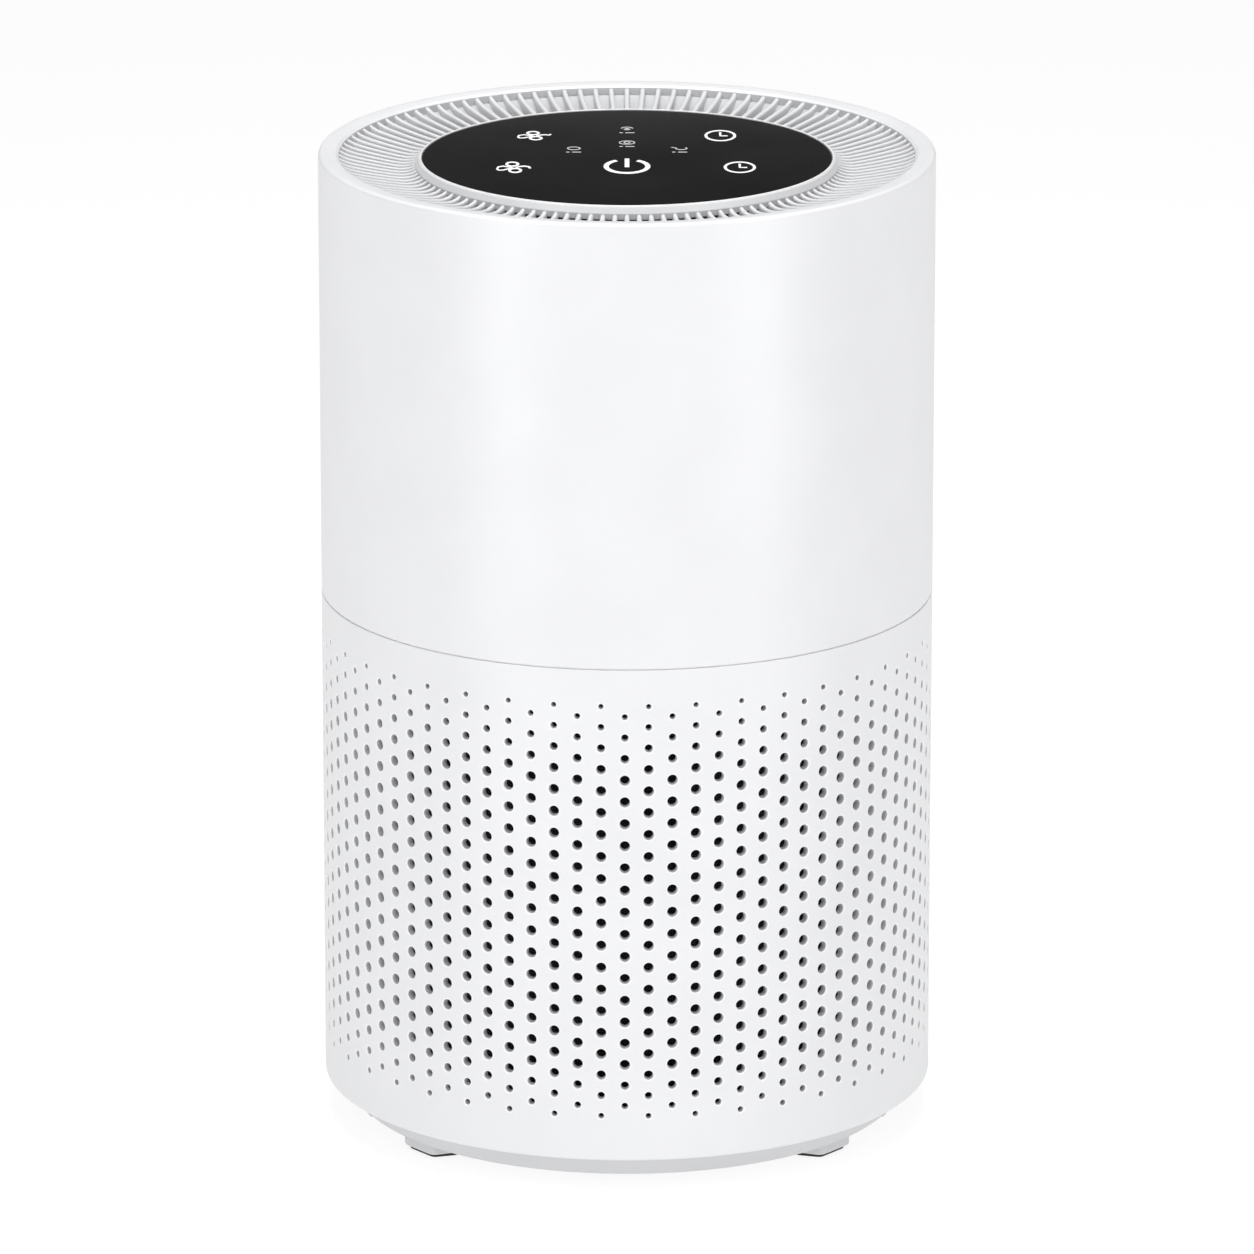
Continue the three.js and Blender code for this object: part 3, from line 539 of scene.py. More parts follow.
def intake_cover():
    """A ring wall of cells, one to each hole. Neighbouring columns of cells are half a row apart, so every
    cell has a vertex at the middle of each side where its neighbours' corners meet it."""
    cell_turn = 360 / COLUMN_COUNT
    vertices, normals, faces = [], [], []
    shared, finishes = {}, {}

    def vertex(point, normal):
        vertices.append(point)
        normals.append(normal)
        return len(vertices) - 1

    def wall_vertex(radius, half_column, half_row, outward):
        """A vertex on the grid of cells, shared by the cells that meet there."""
        key = (radius, half_column % (2 * COLUMN_COUNT), half_row)
        if key not in shared:
            angle = FIRST_COLUMN + half_column * cell_turn / 2
            shared[key] = vertex(polar(radius, angle, row_height(half_row)), polar(outward, angle))
        return shared[key]

    def cell_border(column, half_row, outer):
        """The eight grid vertices round a cell, anticlockwise as seen from outside."""
        radius, outward = (BODY_RADIUS, 1) if outer else (INNER_RADIUS, -1)
        around = [(1, 0), (1, -1), (0, -1), (-1, -1), (-1, 0), (-1, 1), (0, 1), (1, 1)]
        return [wall_vertex(radius, 2 * column + dx, half_row + down, outward) for dx, down in around]

    def hole_ring(column, z, hole_radius, depth, slope):
        """One ring of a hole: slope 0 faces out of the wall and 90 faces across the hole."""
        turn = FIRST_COLUMN + column * cell_turn
        radius = BODY_RADIUS - depth
        ring = []
        for side in range(HOLE_SIDES):
            way = TAU * side / HOLE_SIDES
            angle = turn + math.degrees(hole_radius * math.cos(way) / radius)
            out = polar(1, angle)
            along = polar(1, angle + 90) * math.cos(way) + Vector((0, 0, math.sin(way)))
            tilt = math.radians(slope)
            normal = out * math.cos(tilt) - along * math.sin(tilt)
            ring.append(vertex(polar(radius, angle, z + hole_radius * math.sin(way)), normal))
        return ring

    def bridge(near, far, finish):
        for i in range(HOLE_SIDES):
            j = (i + 1) % HOLE_SIDES
            finishes[len(faces)] = finish
            faces.append([near[i], near[j], far[j], far[i]])

    def frame_hole(grid, ring, flip):
        """Joins a cell's eight grid vertices to the sixteen of a hole's ring."""
        for i in range(8):
            a, b = grid[i], grid[(i + 1) % 8]
            near, middle, far = ring[2 * i], ring[2 * i + 1], ring[(2 * i + 2) % HOLE_SIDES]
            for face in ([a, b, far, middle], [a, middle, near]):
                faces.append(face[::-1] if flip else face)

    def plain_half_cell(column, upper_half_row, outer):
        """Fills the half row beyond the end of a short column."""
        radius, outward = (BODY_RADIUS, 1) if outer else (INNER_RADIUS, -1)
        for dx in (-1, 0):
            square = [wall_vertex(radius, 2 * column + dx + k, upper_half_row + down, outward)
                      for k, down in ((0, 1), (1, 1), (1, 0), (0, 0))]
            faces.append(square if outer else square[::-1])

    for column in range(COLUMN_COUNT):
        is_short = column % 2 == 0
        for half_row in range(1 if is_short else 0, HALF_ROWS + 1, 2):
            z = row_height(half_row)
            radius = hole_diameter(half_row) / 2
            halo = hole_ring(column, z, radius + 0.42, 0, 0)
            lip = hole_ring(column, z, radius + 0.2, 0.04, 22)
            edge = hole_ring(column, z, radius, 0.2, 48)
            throat = hole_ring(column, z, radius - 0.16, 0.55, 80)
            inner_edge = hole_ring(column, z, radius - 0.24, WALL, 88)
            frame_hole(cell_border(column, half_row, True), halo, False)
            # The lip rings take a brighter white: a painted highlight round each hole.
            bridge(halo, lip, 1)
            bridge(lip, edge, 1)
            # The bore takes a darker white: painted shade inside each hole.
            bridge(edge, throat, 2)
            bridge(throat, inner_edge, 2)
            frame_hole(cell_border(column, half_row, False), inner_edge, True)
        if is_short:
            for outer in (True, False):
                plain_half_cell(column, -1, outer)
                plain_half_cell(column, HALF_ROWS, outer)

    # The plain bands above and below the holes, and the rounded edges that join inside to outside.
    # Each entry is a radius, a height and the outward and upward parts of the surface's direction.
    above, below = row_height(-1), row_height(HALF_ROWS + 1)
    grid_rows = {above: -1, below: HALF_ROWS + 1}
    lower_band = [
        (INNER_RADIUS, below, -1, 0), (INNER_RADIUS, COVER_BOTTOM + 0.3, -1, 0),
        (INNER_RADIUS + 0.3, COVER_BOTTOM, -0.3, -1), (BODY_RADIUS - 1.2, COVER_BOTTOM, 0, -1),
        (BODY_RADIUS - 0.6, COVER_BOTTOM + 0.16, 0.5, -0.87),
        (BODY_RADIUS - 0.16, COVER_BOTTOM + 0.6, 0.87, -0.5),
        (BODY_RADIUS, COVER_BOTTOM + 1.2, 1, 0), (BODY_RADIUS, below, 1, 0),
    ]
    upper_band = [
        (BODY_RADIUS, above, 1, 0), (BODY_RADIUS, COVER_TOP - 0.35, 1, 0),
        (BODY_RADIUS - 0.1, COVER_TOP - 0.1, 0.7, 0.7), (BODY_RADIUS - 0.35, COVER_TOP, 0, 1),
        (INNER_RADIUS, COVER_TOP, 0, 1), (INNER_RADIUS, above, -1, 0),
    ]
    for band in (lower_band, upper_band):
        lines = []
        for radius, z, out, rise in band:
            line = []
            for k in range(2 * COLUMN_COUNT):
                if z in grid_rows:
                    line.append(wall_vertex(radius, k, grid_rows[z], out))
                    continue
                angle = FIRST_COLUMN + k * cell_turn / 2
                normal = (polar(out, angle) + Vector((0, 0, rise))).normalized()
                line.append(vertex(polar(radius, angle, z), normal))
            lines.append(line)
        for near, far in zip(lines, lines[1:]):
            for k in range(2 * COLUMN_COUNT):
                j = (k + 1) % (2 * COLUMN_COUNT)
                faces.append([near[k], near[j], far[j], far[k]])

    mesh = bpy.data.meshes.new("perforated_intake_cover")
    mesh.from_pydata([v * MM for v in vertices], [], faces)
    # Slot 1 is a painted highlight on the hole lips; slot 2 is painted shade in the bores.
    for material in (WHITE, LIP_HIGHLIGHT_WHITE, BORE_SHADE_WHITE):
        mesh.materials.append(material)
    for face, finish in finishes.items():
        mesh.polygons[face].material_index = finish
    mesh.shade_smooth()
    mesh.normals_split_custom_set_from_vertices([n.normalized() for n in normals])
    return new_object("perforated_intake_cover", mesh)


LEDGE_BOTTOM = 17
LEDGE_TOP = 20
COLLAR_RADIUS = 98


def bayonet_ledges():
    """The four ledges inside the cover's lower edge that the base's lugs turn over."""
    build = Builder()
    for angle in directions(4, 45):
        outline = arc_outline(COLLAR_RADIUS + 2.2, INNER_RADIUS + 0.3, angle - 15, angle + 15)
        build.prism(outline, LEDGE_BOTTOM, LEDGE_TOP)
    return build.piece("bayonet_ledges", WHITE)


stand_for(intake_cover(), "housing", "white_plastic", "intake_cover")
stand_for(bayonet_ledges(), "housing", "white_plastic")


# ------------------------------------------------------------------ upper housing

RIM_LEDGE = 338.6
RIM_LEDGE_THICKNESS = 2.4
INLET_Z = (low("power_inlet").z + high("power_inlet").z) / 2
INLET_WIDTH = high("power_inlet").x * 2 + 0.8
INLET_HEIGHT = high("power_inlet").z - low("power_inlet").z + 0.8


def upper_housing():
    """The plain upper shell with its rounded rim, inner spigot and the window for the power inlet."""
    seam = COVER_TOP + SEAM_GAP
    spigot_radius = INNER_RADIUS - 0.4
    spigot_bottom = COVER_TOP - 5.7
    groove = BODY_RADIUS - GROOVE_DEPTH
    outline = rounded([
        (INNER_RADIUS - 2.6, spigot_bottom),
        (spigot_radius, spigot_bottom),
        (spigot_radius, COVER_TOP + 0.1),
        (groove, COVER_TOP + 0.1),
        (groove, seam),
        (BODY_RADIUS, seam, 0.3),
        (BODY_RADIUS, RIM_TOP, 1.3),
        (BODY_RADIUS - 2.6, RIM_TOP, 0.8),
        (RIM_INNER_RADIUS + 1.2, RIM_TOP - 0.3, 0.5),
        (RIM_INNER_RADIUS, RIM_TOP - 1.1, 0.4),
        (RIM_INNER_RADIUS, RIM_LEDGE),
        (RIM_INNER_RADIUS - 4, RIM_LEDGE),
        (RIM_INNER_RADIUS - 4, RIM_LEDGE - RIM_LEDGE_THICKNESS),
        (RIM_INNER_RADIUS + 2, RIM_LEDGE - RIM_LEDGE_THICKNESS),
        (RIM_INNER_RADIUS + 2, RIM_TOP - 4.4),
        (INNER_RADIUS, RIM_TOP - 4.4),
        (INNER_RADIUS, COVER_TOP + 6.3),
    ])
    build = Builder()
    build.ring(outline, 240)
    shell = build.piece("upper_housing_shell", WHITE)
    # The inner wall under the rim takes a darker white: painted shade on the same plastic as the shell.
    shell.data.materials.append(RIM_WALL_SHADE_WHITE)
    for face in shell.data.polygons:
        place = face.center / MM
        if place.xy.length < RIM_INNER_RADIUS + 0.3 and place.z > RIM_LEDGE:
            face.material_index = 1
    window = Builder()
    window.prism(rounded_rectangle(INLET_WIDTH / 2, INLET_HEIGHT / 2, 2), -12, 12)
    cutter = window.piece("window_cutter", WHITE, None)
    cutter.data.transform(Matrix.Translation(Vector((0, BODY_RADIUS, INLET_Z)) * MM)
                          @ Matrix.Rotation(math.pi / 2, 4, "X"))
    cut = shell.modifiers.new("inlet_window", "BOOLEAN")
    cut.operation = "DIFFERENCE"
    cut.solver = "EXACT"
    cut.object = cutter
    shell.modifiers.move(shell.modifiers.find("inlet_window"), 0)
    depsgraph = bpy.context.evaluated_depsgraph_get()
    finished = bpy.data.meshes.new_from_object(shell.evaluated_get(depsgraph), depsgraph=depsgraph)
    shell.modifiers.clear()
    shell.data = finished
    bpy.data.objects.remove(cutter)
    return shell


stand_for(upper_housing(), "housing", "white_plastic", "upper_housing")


# ------------------------------------------------------------------ outlet grille

VANE_THICKNESS = 1.8
VANE_INNER = 75.2
GRILLE_BOTTOM = low("outlet_grille").z
HOOP_TOP = 350.9
HOOP_RADIUS = 74.4
FUNNEL_TOP = 352.3
FUNNEL_RADIUS = 94
FUNNEL_BOTTOM = 346.6


def vane_top():
    """The dished top edge of a vane from its outer end to its inner end, as (radius, z) points."""
    return [
        (RIM_INNER_RADIUS + 1.5, RIM_TOP - 1.05), (RIM_INNER_RADIUS - 0.1, RIM_TOP - 1.3),
        (101.4, 354.1), (99.6, 353.3), (97, 352.6), (93, 351.7), (88, 350.7), (84, 350.0),
        (81.0, 349.6), (78.6, 349.7), (76.6, 350.2), (75.0, 351.1),
    ]


def vane(angle):
    """One thin radial vane whose top edge is rounded across its thickness."""
    top = vane_top()
    half = VANE_THICKNESS / 2
    section = [(-half, -1.1), (-half * 0.93, -0.55), (-half * 0.62, -0.16), (0, 0), (half * 0.62, -0.16),
               (half * 0.93, -0.55), (half, -1.1)]
    turn = Matrix.Rotation(math.radians(angle), 3, "Z")
    vertices, faces = [], []
    lane = len(section) + 2
    for radius, z in top:
        bottom = GRILLE_BOTTOM + 2
        if radius > FUNNEL_RADIUS:
            share = (radius - FUNNEL_RADIUS) / (RIM_INNER_RADIUS - FUNNEL_RADIUS)
            bottom = FUNNEL_BOTTOM - 0.8 + min(share, 1) * (FUNNEL_TOP - FUNNEL_BOTTOM)
        points = [(-half, bottom)] + [(side, z + drop) for side, drop in section] + [(half, bottom)]
        vertices += [turn @ Vector((radius, side, height)) for side, height in points]
    for station in range(len(top) - 1):
        for k in range(lane):
            a = station * lane + k
            b = station * lane + (k + 1) % lane
            faces.append([a, b, b + lane, a + lane])
    last = (len(top) - 1) * lane
    faces.append([k for k in reversed(range(lane))])
    faces.append([last + k for k in range(lane)])
    return vertices, [face[::-1] for face in faces]


def outlet_grille():
    """The narrow hoop inside the vanes and the sloping funnel behind and below their outer ends, in a darker
    white as painted shade below the vanes.
    """
    build = Builder()
    build.ring([
        (HOOP_RADIUS, HOOP_TOP - 2.0), (VANE_INNER, HOOP_TOP - 1.8),
        (VANE_INNER, HOOP_TOP), (HOOP_RADIUS, HOOP_TOP),
    ], 224)
    outer = RIM_INNER_RADIUS - 0.25
    build.ring(rounded([
        (FUNNEL_RADIUS, FUNNEL_BOTTOM - 2), (FUNNEL_RADIUS + 1.2, FUNNEL_BOTTOM - 2),
        (outer - 1.2, FUNNEL_TOP - 5), (outer - 1.2, GRILLE_BOTTOM), (outer, GRILLE_BOTTOM),
        (outer, FUNNEL_TOP), (outer - 0.6, FUNNEL_TOP - 0.1), (FUNNEL_RADIUS, FUNNEL_BOTTOM, 0.5),
    ], 3), 224)
    return build.piece("outlet_grille_hoops", FUNNEL_SHADE_WHITE)


def grille_vanes():
    """The radial vanes: their upward faces take a brighter white as a painted highlight, their flanks a
    darker white as painted shade.
    """
    build = Builder()
    for angle in directions(VANE_COUNT, -90):
        build.add(*vane(angle))
    vanes = build.piece("outlet_grille_vanes", VANE_SHADE_WHITE, 40)
    vanes.data.materials.append(LIP_HIGHLIGHT_WHITE)
    # Upward faces get the painted highlight; the rest get the painted shade.
    for face in vanes.data.polygons:
        face.material_index = 1 if face.normal.z > 0.4 else 0
    return vanes


def outlet_throat_painted_shade():
    """The inner wall of the air passage below the vanes' hoop, drawn in dark plastic as painted shade down
    the passage.
    """
    build = Builder()
    build.tube(HOOP_RADIUS, VANE_INNER - 0.1, GRILLE_BOTTOM, HOOP_TOP - 2.05, 192)
    return build.piece("outlet_throat_painted_shade", DARK)


stand_for(outlet_grille(), "housing", "white_plastic", "outlet_grille")
stand_for(grille_vanes(), "housing", "white_plastic")
stand_for(outlet_throat_painted_shade(), "housing", "dark_plastic")


# ------------------------------------------------------------------ trim ring and touch panel

TRIM_BOTTOM = low("panel_trim_ring").z
TRIM_TOP = high("panel_trim_ring").z


def panel_trim_ring():
    """The cone between the vanes and the panel, in a pale grey that is partly the trim's own grey and partly
    painted shade.
    """
    build = Builder()
    inner = PANEL_RADIUS + 0.8
    build.ring(rounded([
        (inner, TRIM_BOTTOM), (inner + 0.4, TRIM_BOTTOM), (inner + 0.4, HOOP_TOP + 0.05),
        (VANE_INNER + 0.1, HOOP_TOP + 0.05), (VANE_INNER + 0.1, HOOP_TOP + 0.4, 0.15),
        (inner + 0.5, TRIM_TOP - 0.5, 0.2), (inner, TRIM_TOP - 0.4),
    ], 4), 240)
    return build.piece("panel_trim_cone", CONE_GREY_SHADE)


def panel_lip():
    """The thin polished lip that frames the panel; its brighter white is a painted highlight."""
    build = Builder()
    build.ring(rounded([
        (PANEL_RADIUS + 0.2, PANEL_BACK), (PANEL_RADIUS + 0.8, PANEL_BACK),
        (PANEL_RADIUS + 0.8, TRIM_TOP, 0.25), (PANEL_RADIUS + 0.2, TRIM_TOP, 0.25),
    ], 4), 240)
    return build.piece("panel_lip", LIP_HIGHLIGHT_WHITE)


def display_panel():
    build = Builder()
    build.ring(rounded([
        (0, PANEL_BACK), (PANEL_RADIUS, PANEL_BACK), (PANEL_RADIUS, PANEL_TOP, 0.35), (0, PANEL_TOP),
    ], 4), 240, closed=False)
    return build.piece("glossy_touch_panel", PANEL)


stand_for(panel_trim_ring(), "housing", "grey_plastic", "panel_trim_ring")
stand_for(panel_lip(), "housing", "white_plastic")
stand_for(display_panel(), "housing", "black_panel", "display_panel")


# ------------------------------------------------------------------ panel symbols

INK_HEIGHT = 0.05


class Symbol:
    """Strokes of printed ink on the panel, drawn round the symbol's centre and then made deeper from front
    to back than they are wide, because they are read from a low angle."""

    def __init__(self, x, y, depth):
        self.centre = Vector((x, y))
        self.depth = depth
        self.build = Builder()

    def place(self, point):
        return self.centre + Vector((point.x, point.y * self.depth))

    def stroke(self, points, width, closed=False):
        """A ribbon of constant width along a line of points."""
        line = [Vector(p) for p in points]
        count = len(line)
        left, right = [], []
        for i, here in enumerate(line):
            before = line[i - 1] if closed or i > 0 else here
            after = line[(i + 1) % count] if closed or i < count - 1 else here
            first = (here - before).normalized() if (here - before).length > 1e-6 else None
            second = (after - here).normalized() if (after - here).length > 1e-6 else None
            way = ((first or second) + (second or first)).normalized()
            side = Vector((-way.y, way.x)) * width / 2
            left.append(self.place(here + side))
            right.append(self.place(here - side))
        bottom, top = PANEL_TOP - 0.02, PANEL_TOP + INK_HEIGHT
        vertices = []
        for edge, z in ((left, bottom), (right, bottom), (right, top), (left, top)):
            vertices += [Vector((p.x, p.y, z)) for p in edge]
        faces = []
        for i in range(count if closed else count - 1):
            j = (i + 1) % count
            for lane in range(4):
                a, b = lane * count, ((lane + 1) % 4) * count
                faces.append([a + j, a + i, b + i, b + j])
        if not closed:
            faces.append([k * count for k in range(4)])
            faces.append([k * count + count - 1 for k in reversed(range(4))])
        self.build.add(vertices, faces)

    def arc(self, radius, start, end, width, x=0.0, y=0.0, squeeze=1.0):
        """Part of a circle or ellipse; a whole turn closes on itself."""
        whole = abs(end - start) >= 360
        steps = max(8, int(abs(end - start) / 9))
        points = []
        for step in range(steps if whole else steps + 1):
            p = polar(radius, start + (end - start) * step / steps)
            points.append(Vector((x + p.x, y + p.y * squeeze)))
        self.stroke(points, width, whole)

    def piece(self, name, material):
        mark = self.build.piece(name, material, 30)
        return stand_for(mark, "housing", "white_plastic")


def power_symbol(x, y):
    """A ring open at the top with an upright stroke in the opening."""
    symbol = Symbol(x, y, 1.35)
    symbol.arc(7.4, 120, 420, 1.8)
    symbol.stroke([(0, -0.9), (0, 8.6)], 1.6)
    return symbol.piece("symbol_power", INK)


def fan_symbol(x, y, number, hook, depth):
    """A fan of four blades: loops above and below and long arms to the sides."""
    symbol = Symbol(x, y, depth)
    symbol.arc(2.0, 0, 360, 0.95, -0.5, 2.7, 0.85)
    symbol.arc(2.0, 0, 360, 0.95, 0.6, -2.7, 0.85)
    symbol.stroke([(-5.8, -1.6), (-5.5, 0.2), (-3.8, 1.0), (-1.4, 0.1), (-0.4, -0.4), (-1.6, -1.2),
                   (-3.6, -2.4), (-5.2, -2.5)], 0.8, closed=True)
    symbol.stroke([(0.8, -0.2), (2.2, 0.7), (3.9, 1.0), (5.3, 0.5), (5.9, -hook)], 0.9)
    return symbol.piece(f"symbol_fan_{number}", INK)


def timer_symbol(x, y, number):
    """A clock face with two hands."""
    symbol = Symbol(x, y, 1.5)
    symbol.arc(5.2, 0, 360, 1.0)
    symbol.stroke([(0, 3.4), (0, -0.2), (2.6, -0.2)], 0.9)
    return symbol.piece(f"symbol_timer_{number}", INK)


def indicator_oval(symbol):
    """A flat oval."""
    symbol.arc(2.2, 0, 360, 0.42, y=0.4, squeeze=0.7)


def indicator_open_oval(symbol):
    """A flat oval open at one side, with a short tick beside it."""
    symbol.arc(2.0, 150, 400, 0.42, x=0.6, y=0.4, squeeze=0.7)
    symbol.stroke([(-3.0, 1.6), (-1.6, 1.0)], 0.42)


def indicator_double_oval(symbol):
    """A flat oval round a small ring."""
    symbol.arc(2.7, 0, 360, 0.4, y=0.6, squeeze=0.7)
    symbol.arc(1.0, 0, 360, 0.4, y=0.6)


def indicator_waves(symbol):
    """An arch over a cup, with a small ring between them."""
    symbol.arc(2.2, 20, 160, 0.42, y=0.4)
    symbol.arc(1.2, 200, 340, 0.42, y=0.8)
    symbol.arc(0.5, 0, 360, 0.4, y=0.9)


def indicator(x, y, number, draw):
    """A small status mark with two plain dashes under it in place of a label."""
    symbol = Symbol(x, y, 1.4)
    draw(symbol)
    dash_line = -3.7
    symbol.stroke([(-2.7, dash_line), (-1.5, dash_line)], 0.5)
    symbol.stroke([(-0.6, dash_line), (2.7, dash_line)], 0.5)
    return symbol.piece(f"symbol_indicator_{number}", FAINT_INK)


power_symbol(0, -14.4)
fan_symbol(-40.2, -15.8, 1, 0.9, 1.75)
fan_symbol(-33.3, 32.5, 2, -1.6, 1.45)
timer_symbol(40, -15.8, 1)
timer_symbol(33.5, 32.5, 2)
indicator(-19, 12.4, 1, indicator_oval)
indicator(18.8, 12.4, 2, indicator_open_oval)
indicator(0, 21, 3, indicator_double_oval)
indicator(0, 42.2, 4, indicator_waves)


# ------------------------------------------------------------------ base cover and feet

FOOT_DIRECTIONS = {"front_left": -140.5, "front_right": -39.5, "rear_left": 140.5, "rear_right": 39.5}
FOOT_HEIGHT = 1.6
LUG_HEIGHT = LEDGE_TOP + 0.5


def foot_outline(inset):
    """The plan of a foot pointing along +X: narrow outside, wide inside, its corners rounded."""
    outer, inner = 97.6 - inset, 84 + inset
    half_outer, half_inner = 8.5 - inset, 13 - inset
    corner = max(0.6, 3 - inset * 0.5)
    return rounded([(inner, -half_inner, corner), (outer, -half_outer, corner),
                    (outer, half_outer, corner), (inner, half_inner, corner)], 6)


def base_cover():
    """A shallow dish with a collar and lugs for the cover, a seat for the filter, four feet and two grips."""
    floor_top = BASE_BOTTOM + 2.4
    seat_inner, seat_outer, seat_top = 82, 85, FILTER_BOTTOM - 0.3
    collar_inner, collar_top = COLLAR_RADIUS - 2.6, LEDGE_TOP + 3.2
    build = Builder()
    build.ring(rounded([
        (0, BASE_BOTTOM),
        (BASE_RADIUS, BASE_BOTTOM, 1.6),
        (INNER_RADIUS - 0.7, COVER_BOTTOM + 0.6, 1.2),
        (INNER_RADIUS - 0.5, COVER_BOTTOM + 1.5),
        (INNER_RADIUS - 3, COVER_BOTTOM + 1.5),
        (COLLAR_RADIUS, BASE_BOTTOM + 4.2, 1),
        (COLLAR_RADIUS, collar_top, 0.5),
        (collar_inner, collar_top, 0.5),
        (collar_inner, floor_top, 0.8),
        (seat_outer, floor_top),
        (seat_outer, seat_top, 0.4),
        (seat_inner, seat_top, 0.4),
        (seat_inner, floor_top),
        (0, floor_top),
    ]), 200, closed=False)
    for angle in directions(4):
        outline = arc_outline(COLLAR_RADIUS - 0.5, COLLAR_RADIUS + 5.6, angle - 13, angle + 13)
        build.prism(outline, LUG_HEIGHT, LUG_HEIGHT + 2.7)
    for angle in FOOT_DIRECTIONS.values():
        build.prism(foot_outline(0), FOOT_HEIGHT - 0.2, BASE_BOTTOM + 1.2, angle, 0.5)
    for angle in (0, 180):
        build.prism(arc_outline(90, BASE_RADIUS - 1, angle - 18, angle + 18, 24), 3, BASE_BOTTOM + 1)
    # The base takes a darker white than the housing: painted shade on its downward faces.
    return build.piece("twist_base_cover", BASE_SHADE_WHITE)


def foot_pad(place, angle):
    build = Builder()
    build.prism(foot_outline(1.6), 0, FOOT_HEIGHT - 0.2, angle, 0.25)
    pad = build.piece(f"rubber_pad_{place}", RUBBER)
    return stand_for(pad, "base", "rubber", f"foot_pad_{place}")


stand_for(base_cover(), "base", "white_plastic", "base_cover")
for pad_place, pad_angle in FOOT_DIRECTIONS.items():
    foot_pad(pad_place, pad_angle)


# ------------------------------------------------------------------ filter cartridge

CAP_HEIGHT = 10
CAP_PLATE = 2.5
PLEAT_COUNT = 96
MEDIA_BOTTOM = FILTER_BOTTOM + CAP_PLATE + 0.3
MEDIA_TOP = FILTER_TOP - CAP_PLATE - 0.3
SLEEVE_RADIUS = high("filter_prefilter").x
SLEEVE_BOTTOM = FILTER_BOTTOM + CAP_HEIGHT + 0.3
SLEEVE_TOP = FILTER_TOP - CAP_HEIGHT - 0.3


def filter_caps():
    """The closed lower cap and the open upper cap with its grip ribs."""
    inner = FILTER_RADIUS - 2
    bottom = Builder()
    bottom.ring(rounded([
        (0, FILTER_BOTTOM), (FILTER_RADIUS, FILTER_BOTTOM, 1.2),
        (FILTER_RADIUS, FILTER_BOTTOM + CAP_HEIGHT, 0.6), (inner, FILTER_BOTTOM + CAP_HEIGHT, 0.4),
        (inner, FILTER_BOTTOM + CAP_PLATE), (0, FILTER_BOTTOM + CAP_PLATE),
    ]), 160, closed=False)
    stand_for(bottom.piece("filter_lower_cap", WHITE), "filter", "white_plastic", "filter_bottom_cap")
    top = Builder()
    top.ring(rounded([
        (CORE_RADIUS, FILTER_TOP - CAP_PLATE), (inner, FILTER_TOP - CAP_PLATE),
        (inner, FILTER_TOP - CAP_HEIGHT, 0.4), (FILTER_RADIUS, FILTER_TOP - CAP_HEIGHT, 0.6),
        (FILTER_RADIUS, FILTER_TOP, 1.2), (CORE_RADIUS, FILTER_TOP, 0.8),
    ]), 160)
    rib_start, rib_end = CORE_RADIUS + 3, 58
    for angle in directions(24):
        top.plate([(rib_start, FILTER_TOP - 0.4), (rib_end, FILTER_TOP - 0.4),
                   (rib_end - 1, FILTER_TOP + 0.6), (rib_start + 1, FILTER_TOP + 0.6)], 1.2, angle)
    stand_for(top.piece("filter_upper_cap", WHITE), "filter", "white_plastic", "filter_top_cap")


def filter_pleats():
    """The folded sheet, a zigzag with rounded folds."""
    build = Builder()
    outer, inner = SLEEVE_RADIUS - 3.2, CORE_RADIUS + 8.6
    radial_thickness = 1.8
    per_fold = 6
    steps = PLEAT_COUNT * per_fold
    outside, inside = [], []
    for step in range(steps):
        wave = math.cos(TAU * step / per_fold)
        swing = math.copysign(abs(wave) ** 0.7, wave)
        radius = (outer + inner) / 2 + swing * (outer - inner) / 2
        outside.append(polar(radius, 360 * step / steps))
        inside.append(polar(radius - radial_thickness, 360 * step / steps))
    build.wall(outside, inside, MEDIA_BOTTOM, MEDIA_TOP)
    return build.piece("pleated_filter_paper", PAPER, 50)


def prefilter_sleeve():
    """The net sleeve between the two caps."""
    build = Builder()
    build.tube(SLEEVE_RADIUS - 1.8, SLEEVE_RADIUS - 0.8, SLEEVE_BOTTOM, SLEEVE_TOP, 200)
    return build.piece("prefilter_net", NET)


def prefilter_frame():
    """Four moulded hoops and twelve upright bars that hold the net."""
    build = Builder()
    inner = SLEEVE_RADIUS - 1.2
    half_hoop = 1.5
    for share in (0, 1 / 3, 2 / 3, 1):
        middle = SLEEVE_BOTTOM + half_hoop + share * (SLEEVE_TOP - SLEEVE_BOTTOM - 2 * half_hoop)
        build.ring(rounded([
            (inner, middle - half_hoop), (SLEEVE_RADIUS, middle - half_hoop, 0.4),
            (SLEEVE_RADIUS, middle + half_hoop, 0.4), (inner, middle + half_hoop),
        ], 3), 160)
    for angle in directions(12):
        outline = arc_outline(inner, SLEEVE_RADIUS - 0.15, angle - 0.9, angle + 0.9, 3)
        build.prism(outline, SLEEVE_BOTTOM, SLEEVE_TOP)
    return build.piece("prefilter_frame", DARK)


def carbon_core():
    build = Builder()
    build.tube(CORE_RADIUS, CORE_RADIUS + 7.5, MEDIA_BOTTOM, MEDIA_TOP, 128)
    return build.piece("carbon_filter_core", CARBON)


def foam_seal():
    """The soft ring that closes the filter against the fan deck, crowned by its own softness."""
    bottom, top = low("filter_seal").z - 0.3, high("filter_seal").z
    inner, outer = 60, 72
    build = Builder()
    build.ring(rounded([
        (inner + 0.2, bottom), (outer - 0.2, bottom), (outer, top, 1.8), (inner, top, 1.8),
    ]), 128)
    return build.piece("foam_sealing_ring", FOAM)


